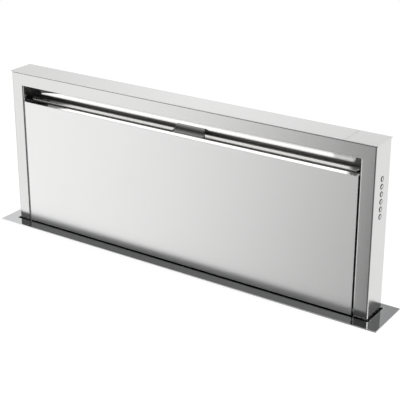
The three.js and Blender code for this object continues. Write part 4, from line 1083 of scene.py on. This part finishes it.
def scroll_path(out):
    """The scroll seen from the front: straight under the outlet, then a radius that falls evenly with
    the angle from its foot to the tongue, and straight back along the outlet."""
    t = np.linspace(0, 1, 72)
    angle = -math.pi / 2 + t * (SCROLL_END + math.pi / 2)
    radius = SCROLL_FOOT + (SCROLL_TONGUE - SCROLL_FOOT) * t + out
    arc = np.stack([radius * np.cos(angle), radius * np.sin(angle)], 1)
    low = [(OUTLET, -SCROLL_FOOT - out)]
    high = [(OUTLET, SCROLL_TONGUE * math.sin(SCROLL_END) + out)]
    return np.vstack([low, arc, high])


def round_hole(path, centre, radius):
    """A circle with one point for each point of the path, at the same angle about the centre."""
    angle = np.arctan2(path[:, 1] - centre[1], path[:, 0] - centre[0])
    return centre + radius * np.column_stack([np.cos(angle), np.sin(angle)])


def scroll():
    """The wall is the outline with a thickness, carried between the front and the back plate; the back
    plate is a fan of the same outline round the shaft hole."""
    outer = scroll_path(SCROLL_SHEET)
    band = prism(np.vstack([outer, scroll_path(0)[::-1]]), SCROLL_BACK, -1.6, "y")
    hole = round_hole(outer, np.zeros(2), 12)
    y0, y1 = SCROLL_BACK, SCROLL_BACK + SCROLL_SHEET
    back = turned_way(ring_of([(outer, y0), (outer, y1), (hole, y1), (hole, y0)]), "y")
    edge = np.vstack([scroll_path(5.5), scroll_path(0.8)[::-1]])
    seams = [prism(edge, y, y + 2.4, "y") for y in (SCROLL_BACK - 0.2, -4.4)]
    return [moved(part, AXIS) for part in (band, back, *seams)]


def wheel():
    """Forty curved blades between a back disc and a front ring: each blade is an arc of a circle with a
    thickness, carried along the axis."""
    t = np.linspace(-0.75, 0.75, 7)
    blade = wall(np.column_stack([BLADE_RING + 9 * np.sin(t) * 0.85, 9 * np.cos(t) - 6]), 1.0)
    blades = [prism(blade @ np.array([[c, s], [-s, c]]), *BLADE_SPAN, "y") for c, s in circle(BLADES)]
    rounds = [turned(WHEEL_DISC, "y", steps=64, closed=True), turned(WHEEL_HUB, "y", closed=True),
              turned(WHEEL_RING, "y", steps=64, closed=True)]
    return [moved(part, AXIS) for part in blades + rounds]


def motor():
    """A turned can whose radius steps in and out for the cooling ribs, with a stepped end cap."""
    groove = ((48, 0), (46, -0.6), (46, -3.4), (48, -4))
    ribs = [(r, y + step) for y in range(-164, -192, -6) for r, step in groove]
    return [turned(MOTOR_NECK + ribs + MOTOR_END, "y", AXIS, 56)]


def duct():
    """The collar's section is a tube with a rolled bead near its free end; its square flange has a screw
    in each corner."""
    (_, y0, z0), (x, y1, z1) = box_of("duct_collar")
    centre = np.array([AXIS[1] + SCROLL_BACK / 2, (z0 + z1) / 2])
    collar = turned(COLLAR, "x", (x, *centre), 64, True)
    edge = loop(y0, y1, z0, z1, 2, 16)
    hole = round_hole(edge, centre, COLLAR[0][0])
    front = x - SHEET
    flange = turned_way(ring_of([(edge, front), (edge, x), (hole, x), (hole, front)]), "x")
    corners = [(-front, y, centre[1] + z) for y in (-184, -46) for z in (-67, 67)]
    return [collar, flange, flipped(rivets(corners, 3, 1.4, "x"), -1)]


def blower():
    stand_in("scroll_casing", scroll(), zinc_sheet, "volute_casing")
    eased("inlet_plate", zinc_sheet, 0.25)
    stand_in("wheel_blades", wheel(), black_plastic, "blower_wheel")
    eased("blower_shaft", turned_steel, 0.4)
    stand_in("motor_can", motor(), grey_enamel, "blower_motor")
    stand_in("duct_spigot", duct(), zinc_sheet, "duct_collar")
    eased("damper_flap", bright_aluminium)


blower()

# ---- electronics box and mains gland
# A painted box on the housing's front with a screwed lid and a row of slots, and a black gland with a
# hexagon nut below for the mains cable.

GLAND = [(4, 0), (6, 0), (7.2, 2.7), (8, 6), (8, 11.8), (4, 11.8)]  # (radius, height), like the nut
GLAND_NUT = [(4, 11.8), (9.6, 11.8), (10.2, 12.6), (10.2, 19.2), (9.6, 20), (4, 20)]
SLOT_PLACES = range(300, 352, 8)
SLOT_SPAN = (-232, -196)


def electronics():
    (x0, front, z0), (x1, _, z1) = box_of("control_box_lid")
    slots = [plate(x, x + 3, front - 0.6, front + 0.2, *SLOT_SPAN, 1.3, 0.1) for x in SLOT_PLACES]
    screws = rivets([(x, front, z) for x in (x0 + 8, x1 - 8) for z in (z0 + 8, z1 - 8)], 3.2, -1.4, "y")
    raised = plate(x0 + 16, 288, front - 1.2, front + 0.2, z0 + 16, z1 - 16, 3, 0.6)
    eased("control_box", grey_enamel, 0.6)
    eased("control_box_lid", grey_enamel, 0.8, extra=[raised])
    build("lid_slots", slots, black_plastic, "housing", "black_plastic")
    build("lid_screws", [screws], turned_steel, "housing", "machined_steel")
    place = (*centre_of("cable_gland")[:2], box_of("cable_gland")[0][2])
    parts = [turned(GLAND, "z", place, 32, True), turned(GLAND_NUT, "z", place, 6, True)]
    stand_in("cable_gland_body", parts, black_plastic, "cable_gland")


electronics()

bpy.context.view_layer.update()
